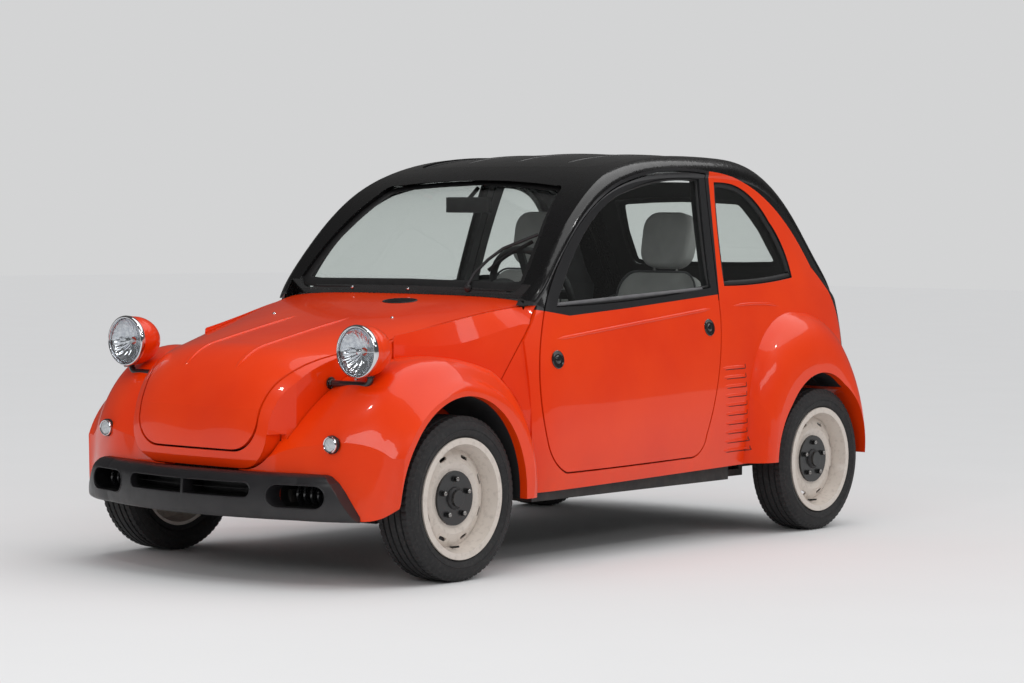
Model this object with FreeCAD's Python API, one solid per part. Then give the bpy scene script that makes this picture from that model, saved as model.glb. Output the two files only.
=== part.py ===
"""Small three-door concept car, built as separate panels, glass, wheels and running gear.

Frame: millimetres, +Z up, nose towards -Y, left side of the car towards +X.
The origin is on the ground below the middle of the car. "Aft" is a distance behind
the front axle.
"""
import FreeCAD, Part
import math
import os
from FreeCAD import Vector

OUT = "parts"

# ---- driving dimensions -------------------------------------------------------------
WHEELBASE = 2224.0
FRONT_OVERHANG = 590.0
REAR_OVERHANG = 436.0
LENGTH = FRONT_OVERHANG + WHEELBASE + REAR_OVERHANG
FRONT_AXLE_Y = FRONT_OVERHANG - LENGTH / 2
REAR_AXLE_Y = FRONT_AXLE_Y + WHEELBASE

TYRE_R = 284.0                # also the height of both axles
TYRE_WIDTH = 165.0
TYRE_FACE_X = 762.0           # outer sidewall
RIM_FACE_X = 756.0            # outer edge of the rim flange
FLANGE_R = 208.0              # 15 inch rim, over the flange
TYRE_X = TYRE_FACE_X - TYRE_WIDTH / 2

SILL_Z = 262.0
SILL_RISE = 0.020             # the sill climbs this much per millimetre of length
WALL = 45.0                   # cabin wall
DOOR_GAP = 6.0
GATE_GAP = 8.0

SIDES = (("left", 1), ("right", -1))

# ---- small helpers -----------------------------------------------------------------------


def aft(a):
    """Y of a station given as its distance behind the front axle."""
    return FRONT_AXLE_Y + a


def box(x0, x1, y0, y1, z0, z1):
    return Part.makeBox(x1 - x0, y1 - y0, z1 - z0, Vector(x0, y0, z0))


def rod(start, end, radius):
    a = Vector(*start)
    b = Vector(*end)
    return Part.makeCylinder(radius, (b - a).Length, a, b - a)


def fuse(solids):
    solids = list(solids)
    whole = solids[0]
    if len(solids) > 1:
        whole = whole.multiFuse(solids[1:])
    return whole


def mirrored(shape):
    return shape.mirror(Vector(0, 0, 0), Vector(1, 0, 0))


def on_side(shape, sign):
    return shape if sign > 0 else mirrored(shape)


def straight(a, b, c):
    return (b - a).cross(c - b).Length < 1e-3 * (b - a).Length * (c - b).Length


def edge_chain(points):
    """Closed wire through corner, via, corner, via ...: an arc, or a line where the three are in line."""
    edges = []
    count = len(points)
    for i in range(0, count, 2):
        a = points[i]
        m = points[i + 1]
        b = points[(i + 2) % count]
        if straight(a, m, b):
            edges.append(Part.LineSegment(a, b).toShape())
        else:
            edges.append(Part.Arc(a, m, b).toShape())
    return Part.Wire(edges)


def grown(points, by):
    """A closed list of (u, v) moved outwards by a distance; the list runs anticlockwise."""
    moved = []
    count = len(points)
    for i, (u, v) in enumerate(points):
        u0, v0 = points[i - 1]
        u1, v1 = points[(i + 1) % count]
        n0 = math.hypot(u - u0, v - v0)
        n1 = math.hypot(u1 - u, v1 - v)
        tu = (u - u0) / n0 + (u1 - u) / n1
        tv = (v - v0) / n0 + (v1 - v) / n1
        length = math.hypot(tu, tv)
        cos_half = length / 2
        moved.append((u + by * tv / length / cos_half, v - by * tu / length / cos_half))
    return moved


def side_wire(points, x, by=0.0):
    return edge_chain([Vector(x, aft(a), z) for a, z in grown(points, by)])


def side_plug(points, x0, x1, by0=0.0, by1=0.0):
    """Solid between two side-view outlines, grown by by0 at x0 and by by1 at x1."""
    return Part.makeLoft([side_wire(points, x0, by0), side_wire(points, x1, by1)], True, True)


def across(points, y0, y1):
    """Prism along Y over a straight-sided front-view outline of (x, z)."""
    corners = [Vector(x, y0, z) for x, z in points]
    wire = Part.makePolygon(corners + corners[:1])
    return Part.Face(wire).extrude(Vector(0, y1 - y0, 0))


def lengthwise(points, x0, x1):
    """Prism along X over a straight-sided side-view outline of (aft, z)."""
    corners = [Vector(x0, aft(a), z) for a, z in points]
    wire = Part.makePolygon(corners + corners[:1])
    return Part.Face(wire).extrude(Vector(x1 - x0, 0, 0))


def midpoint(p, q):
    return ((p[0] + q[0]) / 2, (p[1] + q[1]) / 2)


# ---- cabin shell ---------------------------------------------------------------------------
# aft, half widths and heights of: sill, widest point, belt, rail edge, shoulder, and crown height
WIDEST_Z = 560.0
CABIN = (
    # aft, x_sill, x_wide, x_belt, z_belt, x_rail, z_rail, x_shoulder, z_shoulder, z_crown
    (470, 660, 666, 616, 862, 580, 900, 548, 914, 924),
    (600, 682, 695, 648, 905, 630, 985, 606, 1044, 1052),
    (800, 688, 700, 655, 900, 608, 1196, 584, 1254, 1264),
    (1010, 690, 702, 656, 908, 582, 1322, 550, 1388, 1404),
    (1200, 690, 702, 656, 918, 563, 1376, 516, 1448, 1468),
    (1450, 690, 702, 655, 938, 550, 1400, 492, 1480, 1500),
    (1750, 690, 702, 652, 955, 545, 1404, 482, 1486, 1508),
    (2020, 686, 698, 648, 966, 545, 1381, 480, 1463, 1488),
    (2200, 678, 692, 642, 970, 550, 1306, 482, 1382, 1412),
    (2350, 664, 680, 630, 968, 562, 1175, 505, 1236, 1268),
    (2480, 645, 662, 615, 955, 585, 1015, 535, 1064, 1096),
    (2570, 615, 640, 596, 900, 575, 925, 535, 950, 972),
)


def sill_z(a):
    return SILL_Z + SILL_RISE * (a - 470)


def cabin_wire(row, t):
    a, x_sill, x_wide, x_belt, z_belt, x_rail, z_rail, x_sh, z_sh, z_crown = row
    y = aft(a)
    z0 = sill_z(a)
    right = [(x_sill - t, z0), (x_wide - t, WIDEST_Z), (x_belt - t, z_belt)]
    right += [midpoint((x_belt - t, z_belt), (x_rail - t, z_rail - 0.2 * t)), (x_rail - t, z_rail - 0.2 * t)]
    bulge = 0.24 * math.hypot(x_rail - x_sh, z_rail - z_sh)
    mx, mz = midpoint((x_rail - t, z_rail - 0.2 * t), (x_sh - 0.5 * t, z_sh - t))
    right += [(mx + 0.72 * bulge, mz + 0.6 * bulge), (x_sh - 0.5 * t, z_sh - t)]
    left = [(-x, z) for x, z in reversed(right)]
    points = right + [(0, z_crown - t)] + left + [(0, z0)]
    return edge_chain([Vector(x, y, z) for x, z in points])


def cabin_solid(t, front=0.0, back=0.0):
    """The cabin's outline moved in by t; its two ends moved in by front and back."""
    rows = [list(row) for row in CABIN]
    rows[0][0] += front
    rows[-1][0] -= back
    return Part.makeLoft([cabin_wire(row, t) for row in rows], True, False, False, LOFT_DEGREE)


# ---- side-view outlines, as (aft, z), corner and via points in turn, anticlockwise ----------
DOOR = (
    (657, 330), (1028, 334),
    (1399, 340), (1469, 361),
    (1502, 418), (1582, 640),
    (1632, 860), (1664, 1140),
    (1708, 1428), (1440, 1431),
    (1162, 1387), (830, 1230),
    (575, 910), (521, 700),
    (549, 443), (590, 372),
)
DOOR_GLASS = (
    (642, 921), (1120, 938),
    (1600, 978), (1621, 1190),
    (1652, 1398), (1440, 1398),
    (1175, 1354), (880, 1215),
)
QUARTER_GLASS = (
    (1692, 984), (1945, 990),
    (2188, 1012), (2172, 1115),
    (2096, 1236), (1990, 1338),
    (1860, 1384), (1804, 1388),
    (1750, 1388), (1712, 1190),
)
# front-view depth of the doors: outboard of this line
DOOR_DEPTH = ((900, 200), (596, 200), (596, 880), (484, 1440), (484, 1500), (900, 1500))
SIDE_DEPTH = ((900, 150), (240, 150), (240, 882), (589, 882), (478, 1440), (478, 1500), (900, 1500))
# lower edge of the black hoop over the doors and quarter windows, closed far below
HOOP = (
    (440, 200), (1530, 200),
    (2560, 200), (2545, 500),
    (2563, 792), (2500, 930),
    (2377, 1050), (2160, 1290),
    (1880, 1412), (1800, 1424),
    (1720, 1430), (1440, 1436),
    (1160, 1393), (825, 1235),
    (584, 912), (560, 926),
    (536, 942), (488, 950),
    (440, 955), (440, 540),
)


def half_space(sign, inner=0.0):
    """Everything on one side of the car, outboard of a distance from the middle."""
    solid = box(inner, 900, -2000, 2000, 0, 1800)
    return on_side(solid, sign)


# ---- fenders: lofts across the car through side-view outlines -----------------------------------
# x, then aft and z of: foot, front shoulder, top via, top rear, rear via, rear foot
FRONT_FENDER = (
    (180, (-500, 300), (-496, 400), (-440, 500), (-200, 620), (300, 560), (450, 440), (470, 300)),
    (330, (-482, 300), (-472, 440), (-385, 560), (-60, 720), (300, 640), (440, 500), (470, 300)),
    (440, (-466, 300), (-452, 470), (-352, 608), (-40, 748), (300, 690), (440, 540), (478, 300)),
    (520, (-446, 300), (-434, 482), (-338, 632), (-34, 758), (300, 706), (452, 560), (485, 300)),
    (600, (-414, 300), (-400, 488), (-312, 640), (-28, 764), (290, 712), (448, 560), (490, 300)),
    (650, (-388, 300), (-374, 480), (-292, 634), (-20, 760), (270, 706), (432, 560), (486, 300)),
    (690, (-362, 300), (-350, 465), (-266, 618), (-10, 745), (240, 690), (408, 540), (470, 300)),
    (712, (-346, 300), (-338, 450), (-250, 606), (0, 727), (225, 664), (384, 520), (446, 300)),
    (750, (-328, 300), (-322, 440), (-222, 590), (0, 690), (205, 630), (352, 490), (402, 300)),
    (774, (-322, 300), (-318, 430), (-222, 566), (0, 652), (190, 600), (330, 470), (352, 300)),
)
REAR_FENDER = (
    (600, (1790, 300), (1800, 620), (1920, 800), (2190, 880), (2440, 800), (2560, 600), (2600, 300)),
    (700, (1770, 300), (1790, 560), (1900, 755), (2190, 848), (2430, 760), (2560, 560), (2590, 300)),
    (752, (1810, 300), (1830, 500), (1960, 700), (2195, 775), (2400, 690), (2530, 500), (2560, 300)),
    (774, (1872, 300), (1895, 440), (2010, 610), (2205, 668), (2370, 610), (2500, 440), (2528, 300)),
)
# side wall between the front fender and the bonnet's edge: aft, then (x, z) from the foot up
NOSE_SIDE = (
    (-30, (464, 200), (464, 560), (463, 800), (460, 829)),
    (120, (512, 200), (512, 560), (501, 790), (490, 855)),
    (250, (560, 200), (558, 560), (536, 800), (516, 880)),
    (385, (618, 200), (618, 560), (577, 835), (548, 905)),
    (478, (661, 200), (668, 560), (618, 862), (570, 918)),
)
# the wall's section at the screen pillar's foot
PILLAR_FOOT = (562, (686, 200), (693, 560), (654, 862), (635, 932))
NOSE_SIDE_INNER_X = 425.0
NOSE_SIDE_T = 30.0
ARCH_HALF = {"front": 322.0, "rear": 296.0}
ARCH_RISE = 350.0
LOFT_DEGREE = 3
CORNER_R = 72.0
# front view of what is taken off the front fender's lower outer edge
FENDER_TAPER = ((748, 200), (751, 228), (762, 330), (770, 430), (776, 520), (900, 520), (900, 200))


def fender_wire(row, foot_z, bow):
    x = row[0]
    foot, shoulder, via, top, rear, rear_via, rear_foot = row[1:]
    foot = (foot[0], foot_z)
    rear_foot = (rear_foot[0], foot_z)
    front_via = midpoint(foot, shoulder)
    top_via = (midpoint(top, rear)[0], midpoint(top, rear)[1] + bow)
    points = [foot, front_via, shoulder, via, top,
              top_via, rear,
              rear_via, rear_foot, midpoint(foot, rear_foot)]
    return edge_chain([Vector(x, aft(a), z) for a, z in points])


def fender_volume(table, foot_z, bow):
    return Part.makeLoft([fender_wire(row, foot_z, bow) for row in table], True, False, False, LOFT_DEGREE)


def fender_corner():
    """What rounds the lower corner just ahead of the front wheel."""
    a = -ARCH_HALF["front"] + 2
    square = box(640, 900, aft(a - CORNER_R), aft(a + 20), 150, 228 + CORNER_R)
    centre = Vector(600, aft(a - CORNER_R), 228 + CORNER_R)
    return square.cut(Part.makeCylinder(CORNER_R, 400, centre, Vector(1, 0, 0)))


def wall_section(row, t):
    y = aft(row[0])
    outer = [(x - t, z) for x, z in row[1:-1]] + [(row[-1][0] - t, row[-1][1] - t)]
    outer = [(NOSE_SIDE_INNER_X, outer[0][1])] + outer + [(NOSE_SIDE_INNER_X, outer[-1][1])]
    corners = [Vector(x, y, z) for x, z in outer]
    return Part.makePolygon(corners + corners[:1])


def nose_side(t):
    """The side wall's volume, its outer face and top moved in by t."""
    return Part.makeLoft([wall_section(row, t) for row in NOSE_SIDE], True, False, False, LOFT_DEGREE)


def pillar_corner():
    """The side wall carried on from its last section to the pillar's foot."""
    return Part.makeLoft([wall_section(NOSE_SIDE[-1], 0), wall_section(PILLAR_FOOT, 0)], True)


def arch_opening(a_centre, half, rise, x0, x1):
    """Elliptical wheel opening, carried straight down below the sill."""
    y = aft(a_centre)
    ellipse = Part.Ellipse(Vector(0, y, TYRE_R + rise), Vector(0, y + half, TYRE_R), Vector(0, y, TYRE_R))
    face = Part.Face(Part.Wire([ellipse.toShape()]))
    upper = face.extrude(Vector(x1 - x0, 0, 0))
    upper.translate(Vector(x0, 0, 0))
    return upper.fuse(box(x0, x1, y - half, y + half, 100, TYRE_R))


# ---- wheels ---------------------------------------------------------------------------------------
BEAD_R = 190.0
RIM_DEPTH = 140.0
FLANGE_T = 7.0
CAP_R = 93.0
LUGS = 5
LUG_CIRCLE_R = 66.0
VENTS = 8
SLOT_R = 145.0
SLOT_LENGTH = 36.0
SLOT_WIDTH = 12.0


def spun(profile, x_sign=1):
    """Revolve a closed (x, r) outline of corner and via points about the X axis."""
    wire = edge_chain([Vector(x * x_sign, 0, r) for x, r in profile])
    return Part.Face(wire).revolve(Vector(0, 0, 0), Vector(1, 0, 0), 360)


def lined(points):
    """Corner and via points of a closed outline made of straight runs only."""
    chain = []
    for i, p in enumerate(points):
        chain += [p, midpoint(p, points[(i + 1) % len(points)])]
    return chain


def tyre():
    """x is measured outwards from the middle of the tyre."""
    w = TYRE_WIDTH / 2
    bead_x = RIM_FACE_X - TYRE_X - FLANGE_T - 0.3
    inner_bead_x = RIM_FACE_X - TYRE_X - RIM_DEPTH + FLANGE_T + 0.3
    half = [(bead_x, BEAD_R + 2.3), (bead_x, FLANGE_R + 1), (w, FLANGE_R + 26), (w - 3, TYRE_R - 24),
            (w - 21, TYRE_R - 2)]
    other = [(inner_bead_x, BEAD_R + 2.3), (inner_bead_x, FLANGE_R + 1), (-w, FLANGE_R + 26),
             (3 - w, TYRE_R - 24), (21 - w, TYRE_R - 2)]
    return spun(lined(half + [(0, TYRE_R)] + other[::-1]))


def wheel_slot(x):
    """Cutter along X for a slot with round ends, long way round the wheel."""
    span = SLOT_LENGTH / 2 - SLOT_WIDTH / 2
    middle = box(x, x + 60, -span, span, SLOT_R - SLOT_WIDTH / 2, SLOT_R + SLOT_WIDTH / 2)
    ends = [rod((x, y, SLOT_R), (x + 60, y, SLOT_R), SLOT_WIDTH / 2) for y in (-span, span)]
    return fuse([middle] + ends)


def rim():
    """Pressed wheel: flange, well, inset disc with slots, hub cap and lug studs."""
    face = RIM_FACE_X - TYRE_X
    back = face - RIM_DEPTH
    lip = FLANGE_T
    barrel = lined([
        (face, FLANGE_R), (face, BEAD_R - 4), (face - 30, BEAD_R - 14), (face - 60, BEAD_R - 22),
        (back, BEAD_R - 10), (back, FLANGE_R), (back + lip, FLANGE_R), (back + lip, BEAD_R + 2),
        (face - lip, BEAD_R + 2), (face - lip, FLANGE_R),
    ])
    body = spun(barrel)
    disc_x = face - 62.0
    disc = lined([
        (disc_x, BEAD_R - 15), (disc_x + 16, 150), (disc_x + 26, 122), (disc_x + 18, CAP_R + 6),
        (disc_x + 18, 30), (disc_x + 12, 30), (disc_x + 12, CAP_R + 4), (disc_x + 20, 121),
        (disc_x + 10, 148), (disc_x - 6, BEAD_R - 15),
    ])
    disc = spun(disc)
    for i in range(VENTS):
        slot = wheel_slot(disc_x - 20)
        slot.rotate(Vector(0, 0, 0), Vector(1, 0, 0), 360.0 * (i + 0.5) / VENTS)
        disc = disc.cut(slot)
    cap = Part.makeCylinder(CAP_R, 12, Vector(disc_x + 14, 0, 0), Vector(1, 0, 0))
    boss = Part.makeCone(34, 28, 22, Vector(disc_x + 22, 0, 0), Vector(1, 0, 0))
    pieces = [body, disc, cap, boss]
    for i in range(LUGS):
        angle = math.radians(360.0 * i / LUGS + 90)
        y = LUG_CIRCLE_R * math.cos(angle)
        z = LUG_CIRCLE_R * math.sin(angle)
        pieces.append(Part.makeCylinder(10, 14, Vector(disc_x + 24, y, z), Vector(1, 0, 0)))
    hub = Part.makeCylinder(62, 30, Vector(disc_x - 14, 0, 0), Vector(1, 0, 0))
    return fuse(pieces + [hub])


def wheel_pieces():
    plain_tyre = tyre()
    plain_rim = rim().removeSplitter()
    pieces = {}
    for end, y in (("front", FRONT_AXLE_Y), ("rear", REAR_AXLE_Y)):
        for side, sign in SIDES:
            for kind, shape in (("tyre", plain_tyre), ("rim", plain_rim)):
                solid = shape.copy()
                solid.translate(Vector(TYRE_X, y, TYRE_R))
                pieces["%s_%s_%s" % (kind, end, side)] = on_side(solid, sign)
    return pieces


# ---- running gear ----------------------------------------------------------------------------------
HUB_BACK_X = RIM_FACE_X - 76.0


def knuckle():
    """Upright with its stub axle, lower ball joint and steering arm, left side."""
    y = FRONT_AXLE_Y
    x1 = HUB_BACK_X - 0.5
    stub = rod((x1 - 40, y, TYRE_R), (x1, y, TYRE_R), 46)
    upright = box(x1 - 70, x1 - 34, y - 30, y + 30, TYRE_R - 105, TYRE_R + 95)
    arm = box(x1 - 72, x1 - 52, y - 130, y - 20, TYRE_R - 40, TYRE_R - 18)
    return fuse([stub, upright, arm])


def front_suspension():
    """Cross member with lower arms, struts and their braces on both sides."""
    y = FRONT_AXLE_Y
    pieces = [box(-392, 392, y - 70, y + 110, 178, 226)]
    for side, sign in SIDES:
        arm = fuse([
            rod((380, y + 90, 200), (575, y + 6, 172), 16),
            rod((380, y - 50, 200), (575, y - 2, 172), 16),
            Part.makeCylinder(24, 14, Vector(575, y, 160)),
            rod((486, y, 514), (520, y, 424), 30),
            rod((388, y, 220), (480, y, 505), 14),
        ])
        pieces.append(on_side(arm, sign))
    return fuse(pieces)


def rear_axle():
    """Torsion beam with trailing arms, springs and stub axles."""
    y = REAR_AXLE_Y
    beam = box(-480, 480, y - 250, y - 180, 238, 300)
    pieces = [beam]
    for side, sign in SIDES:
        arm = fuse([
            box(440, 500, y - 316, y + 60, 250, 298),
            rod((480, y, TYRE_R), (HUB_BACK_X - 0.5, y, TYRE_R), 40),
            rod((452, y + 10, 290), (452, y + 10, 399.5), 44),
        ])
        pieces.append(on_side(arm, sign))
    return fuse(pieces)


def exhaust():
    """Pipe along the tunnel, silencer across the tail and a tail pipe."""
    pipe = rod((0, aft(520), 240), (0, aft(1830), 240), 24)
    down = rod((0, aft(1830), 240), (-60, aft(1960), 190), 24)
    under = rod((-60, aft(1960), 190), (-120, aft(2330), 236), 24)
    silencer = box(-330, 60, aft(2320), aft(2520), 180, 300)
    tail = rod((-280, aft(2510), 228), (-280, aft(2650), 228), 24)
    return fuse([pipe, down, under, silencer, tail])


# ---- bonnet and nose: one volume lofted across the car through side profiles ------------------
BONNET_T = 26.0
SCREEN_CURVE = 5.0
SKIRT_Z = 540.0
SKIRT_FRONT_Z = 500.0
SKIRT_X = 360.0
SKIRT_REAR = -340.0
# half width, then aft and z of: cowl, bonnet via, bonnet front, roll via, face top, face via, chin
NOSE = (
    (0, (572, 960), (130, 886), (-300, 802), (-456, 722), (-528, 590), (-538, 500), (-535, 418)),
    (300, (573, 958), (135, 878), (-290, 780), (-424, 706), (-502, 590), (-518, 500), (-510, 418)),
    (420, (576, 955), (155, 868), (-230, 760), (-344, 690), (-424, 590), (-466, 500), (-472, 418)),
    (570, (586, 944), (240, 866), (-150, 742), (-262, 650), (-330, 560), (-370, 490), (-384, 418)),
)
CHIN_SETBACK = 56.0
# plan outlines of the lid and of the shield around it: half width and aft, from the screen forwards
LID_PLAN = ((585, 590), (504, 290), (436, -40), (380, -254), (322, -409), (292, -480), (268, -620))
SHIELD_PLAN = ((594, 590), (518, 290), (455, -40), (404, -254), (364, -409), (334, -480), (312, -620))
# front-view foot of each: height of the lower edge, half width at the corner and corner radius
LID_FOOT = (450.0, 282.0, 105.0)
SHIELD_FOOT = (386.0, 322.0, 120.0)
LID_GAP = 7.0
SCREEN_GAP = 34.0
LID_T = 18.0
COLLAR_END = 300.0
SPLIT = (
    (552, 928), (388, 669), (430, 600), (470, 480), (486, 300), (486, 200),
    (900, 200), (900, 1100), (570, 1100),
)
SPLIT_GAP = 4.0
SCUTTLE_TOP = 965.0
# what lies ahead of that shut line, closed far forward
AHEAD = (
    (486, 200), (486, 300), (470, 480), (430, 600), (388, 669), (552, 928), (200, 928), (200, 200),
)
# side view of the hollow behind the front fender's inner part
FENDER_HOLLOW = (
    (-408, 150), (-408, 440), (-385, 500), (-325, 575), (-200, 640), (0, 690), (480, 690), (480, 150),
)


def nose_wire(row, t):
    x = row[0]
    top = list(row[1:])
    low_front = (row[7][0] + CHIN_SETBACK, 330)
    low_rear = (row[1][0], 330)
    points = top + [midpoint(top[-1], low_front), low_front, midpoint(low_front, low_rear), low_rear,
                    midpoint(low_rear, top[0])]
    moved = grown(points, -t)
    if t > 0:
        # the inside is open to the rear
        slope = (points[0][1] - points[1][1]) / (points[0][0] - points[1][0])
        moved[0] = (moved[0][0] + 3 * t, moved[0][1] + 3 * t * slope)
        moved[-2] = (moved[-2][0] + 3 * t, moved[-2][1])
        moved[-1] = midpoint(moved[-2], moved[0])
        moved[-3] = midpoint(moved[-4], moved[-2])
    return edge_chain([Vector(x, aft(a), z) for a, z in moved])


def nose_solid(t):
    rows = [(-row[0],) + row[1:] for row in reversed(NOSE[1:])] + list(NOSE)
    return Part.makeLoft([nose_wire(row, t) for row in rows], True, False, False, LOFT_DEGREE)


def plan_wire(points, z):
    return edge_chain([Vector(x, aft(a), z) for x, a in points])


def framed(plan, foot, by, rear):
    """Everything inside a plan outline and above a front-view foot with round corners."""
    side = [(half + by, a) for half, a in plan]
    side[0] = (side[0][0], rear)
    left = [(-x, a) for x, a in reversed(side)]
    points = side + [(0, side[-1][1])] + left + [(0, rear - SCREEN_CURVE)]
    column = Part.Face(plan_wire(points, 300)).extrude(Vector(0, 0, 900))
    z, half, radius = foot
    z -= by
    half += by
    cut = box(-900, 900, aft(-700), aft(700), 0, z)
    for sign in (1, -1):
        inner = sign * (half - radius)
        outer = sign * 700
        square = box(min(inner, outer), max(inner, outer), aft(-700), aft(-300), z, z + radius)
        side_band = box(min(sign * half, outer), max(sign * half, outer), aft(-700), aft(-300), z, z + radius)
        round_ = Part.makeCylinder(radius, 400, Vector(inner, aft(-700), z + radius), Vector(0, 1, 0))
        cut = cut.fuse(square.cut(round_).cut(side_band)).fuse(side_band.common(box(-900, 900, aft(-700),
                                                                                    aft(-440), 0, 2000)))
    return column.cut(cut)


def lid_plug(by):
    return framed(LID_PLAN, LID_FOOT, by, 590 - SCREEN_GAP + by)


def shield_plug(by):
    return framed(SHIELD_PLAN, SHIELD_FOOT, by, 590 - SCREEN_GAP)


# ---- openings in front, rear and plan view ---------------------------------------------------------
WINDSCREEN = (
    (-460, 983), (0, 988),
    (460, 983), (538, 990),
    (550, 1012), (513, 1170),
    (446, 1326), (436, 1352),
    (400, 1362), (0, 1384),
    (-400, 1362), (-436, 1352),
    (-446, 1326), (-513, 1170),
    (-550, 1012), (-538, 990),
)
ROOF = (
    (-400, 1118), (0, 1098),
    (400, 1118), (440, 1150),
    (452, 1220), (455, 1560),
    (430, 1960), (418, 2050),
    (350, 2078), (0, 2096),
    (-350, 2078), (-418, 2050),
    (-430, 1960), (-455, 1560),
    (-452, 1220), (-440, 1150),
)
TAILGATE = (
    (-380, 560), (0, 556),
    (380, 560), (428, 575),
    (440, 620), (470, 860),
    (452, 1090), (412, 1265),
    (350, 1384), (0, 1397),
    (-350, 1384), (-412, 1265),
    (-452, 1090), (-470, 860),
    (-440, 620), (-428, 575),
)
TAIL_GLASS = (
    (-350, 1050), (0, 1044),
    (350, 1050), (372, 1058),
    (374, 1080), (356, 1200),
    (322, 1296), (312, 1318),
    (285, 1324), (0, 1336),
    (-285, 1324), (-312, 1318),
    (-322, 1296), (-356, 1200),
    (-374, 1080), (-372, 1058),
)


def front_plug(points, y0, y1, by0=0.0, by1=0.0):
    """Solid between two front-view outlines of (x, z), from y0 to y1."""
    wires = [edge_chain([Vector(x, y, z) for x, z in grown(points, by)]) for y, by in ((y0, by0), (y1, by1))]
    return Part.makeLoft(wires, True, True)


def roof_plug(by):
    wire = edge_chain([Vector(x, aft(a), 1100) for x, a in grown(ROOF, by)])
    return Part.Face(wire).extrude(Vector(0, 0, 600))


# ---- bumpers ------------------------------------------------------------------------------------------
# plan of the outer face: (x, aft), from the middle outwards
FRONT_BUMPER = ((0, -590), (240, -566), (460, -508), (566, -476), (660, -420))
REAR_BUMPER = ((0, 2660), (250, 2652), (460, 2622), (580, 2592), (690, 2548))
# height, and how far the outer face is set in there
BUMPER_ROUND = ((226, 14), (236, 4), (256, 0), (330, 0), (356, 5), (372, 16), (380, 30))
BUMPER_DEPTH = 62.0
BUMPER_TIP_DEPTH = 26.0
REAR_BUMPER_ROUND = ((272, 14), (282, 4), (302, 0), (380, 0), (406, 5), (422, 16), (430, 30))
# front view of what is cut from the end of the front bumper
BUMPER_END = ((505, 395), (520, 384), (548, 375), (572, 354), (592, 326), (652, 224), (652, 200), (900, 200),
              (900, 395))
GRILLE = (10.0, 288.0, 297.0, 345.0)
FOG = (352.0, 560.0, 270.0, 344.0)


def band(plan, heights, direction):
    """Bumper between an outer plan curve and the same curve set in, with rounded upper and lower edges."""
    last = len(plan) - 1
    wires = []
    for z, set_in in heights:
        outer = [(x - set_in * (x > 0) * 0.5, a + direction * set_in) for x, a in plan]
        inner = []
        for i, (x, a) in enumerate(plan):
            depth = BUMPER_DEPTH if i < last else BUMPER_TIP_DEPTH + 18
            inner.append((x * (1 - 0.045), a + direction * depth))
        full = [(-x, a) for x, a in reversed(outer[1:])] + outer
        back = [(-x, a) for x, a in reversed(inner[1:])] + inner
        back.reverse()
        points = full + [midpoint(full[-1], back[0])] + back + [midpoint(back[-1], full[0])]
        wires.append(plan_wire(points, z))
    return Part.makeLoft(wires, True, False, False, LOFT_DEGREE)


def round_slot(x0, x1, z0, z1, y0, y1):
    """Cutter along Y for a slot with half-round ends."""
    radius = (z1 - z0) / 2
    middle = (z0 + z1) / 2
    ends = [Part.makeCylinder(radius, y1 - y0, Vector(x, y0, middle), Vector(0, 1, 0))
            for x in (x0 + radius, x1 - radius)]
    return fuse([box(x0 + radius, x1 - radius, y0, y1, z0, z1)] + ends)


def front_bumper():
    solid = band(FRONT_BUMPER, BUMPER_ROUND, 1)
    y0, y1 = aft(-700), aft(-400)
    mullion, far, low, high = GRILLE
    grille = round_slot(-far, far, low, high, y0, y1).cut(box(-mullion / 2, mullion / 2, y0, y1, low, high))
    solid = solid.cut(grille)
    for sign in (1, -1):
        solid = solid.cut(on_side(round_slot(*FOG, y0, y1), sign))
        tip = across(BUMPER_END, y0, aft(-300))
        solid = solid.cut(on_side(tip, sign))
    return solid


def rear_bumper():
    solid = band(REAR_BUMPER, REAR_BUMPER_ROUND, -1)
    for _, sign in SIDES:
        wheel_room = Part.makeCylinder(TYRE_R + 14, 400, Vector(560, REAR_AXLE_Y, TYRE_R), Vector(1, 0, 0))
        solid = solid.cut(on_side(wheel_room, sign))
    return solid


# ---- lamps ----------------------------------------------------------------------------------------------
LAMP_X = 562.0
LAMP_AFT = -327.0
LAMP_Z = 787.0
LAMP_R = 89.0
LAMP_DEPTH = 148.0
BRACKET_R = 11.0
SHIELD_WALL_X = 400.6
MARKER_X = 546.0
MARKER_Z = 481.0
MARKER_R = 25.0


def about_lamp_axis(profile):
    """Solid of revolution about the lamp's axis; profile points are (depth behind the ring, radius)."""
    y0 = aft(LAMP_AFT)
    wire = edge_chain([Vector(LAMP_X, y0 + d, LAMP_Z + r) for d, r in profile])
    return Part.Face(wire).revolve(Vector(LAMP_X, y0, LAMP_Z), Vector(0, 1, 0), 360)


def headlamp_housing():
    """Bowl-backed bucket with its ring, on a bent tube from the nose panel; left side."""
    bowl = about_lamp_axis([
        (0, LAMP_R), (16, LAMP_R), (34, LAMP_R - 2), (108, LAMP_R - 26), (LAMP_DEPTH, 0), (95, 0),
        (40, 0), (40, 40), (40, LAMP_R - 8), (20, LAMP_R - 8), (0, LAMP_R - 8), (0, LAMP_R - 4),
    ])
    y = aft(-280)
    low = LAMP_Z - 113
    bend = 24.0
    run = rod((SHIELD_WALL_X, y, low), (LAMP_X + 20 - bend, y, low), BRACKET_R)
    corner = Part.makeTorus(bend, BRACKET_R, Vector(LAMP_X + 20 - bend, y, low + bend), Vector(0, 1, 0))
    corner = corner.common(box(LAMP_X + 20 - bend, LAMP_X + 60, y - 30, y + 30, low - 30, low + bend))
    post = rod((LAMP_X + 20, y, low + bend), (LAMP_X + 20, y, LAMP_Z - LAMP_R + 8), BRACKET_R)
    return fuse([bowl, run, corner, post.cut(bowl)])


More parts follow.
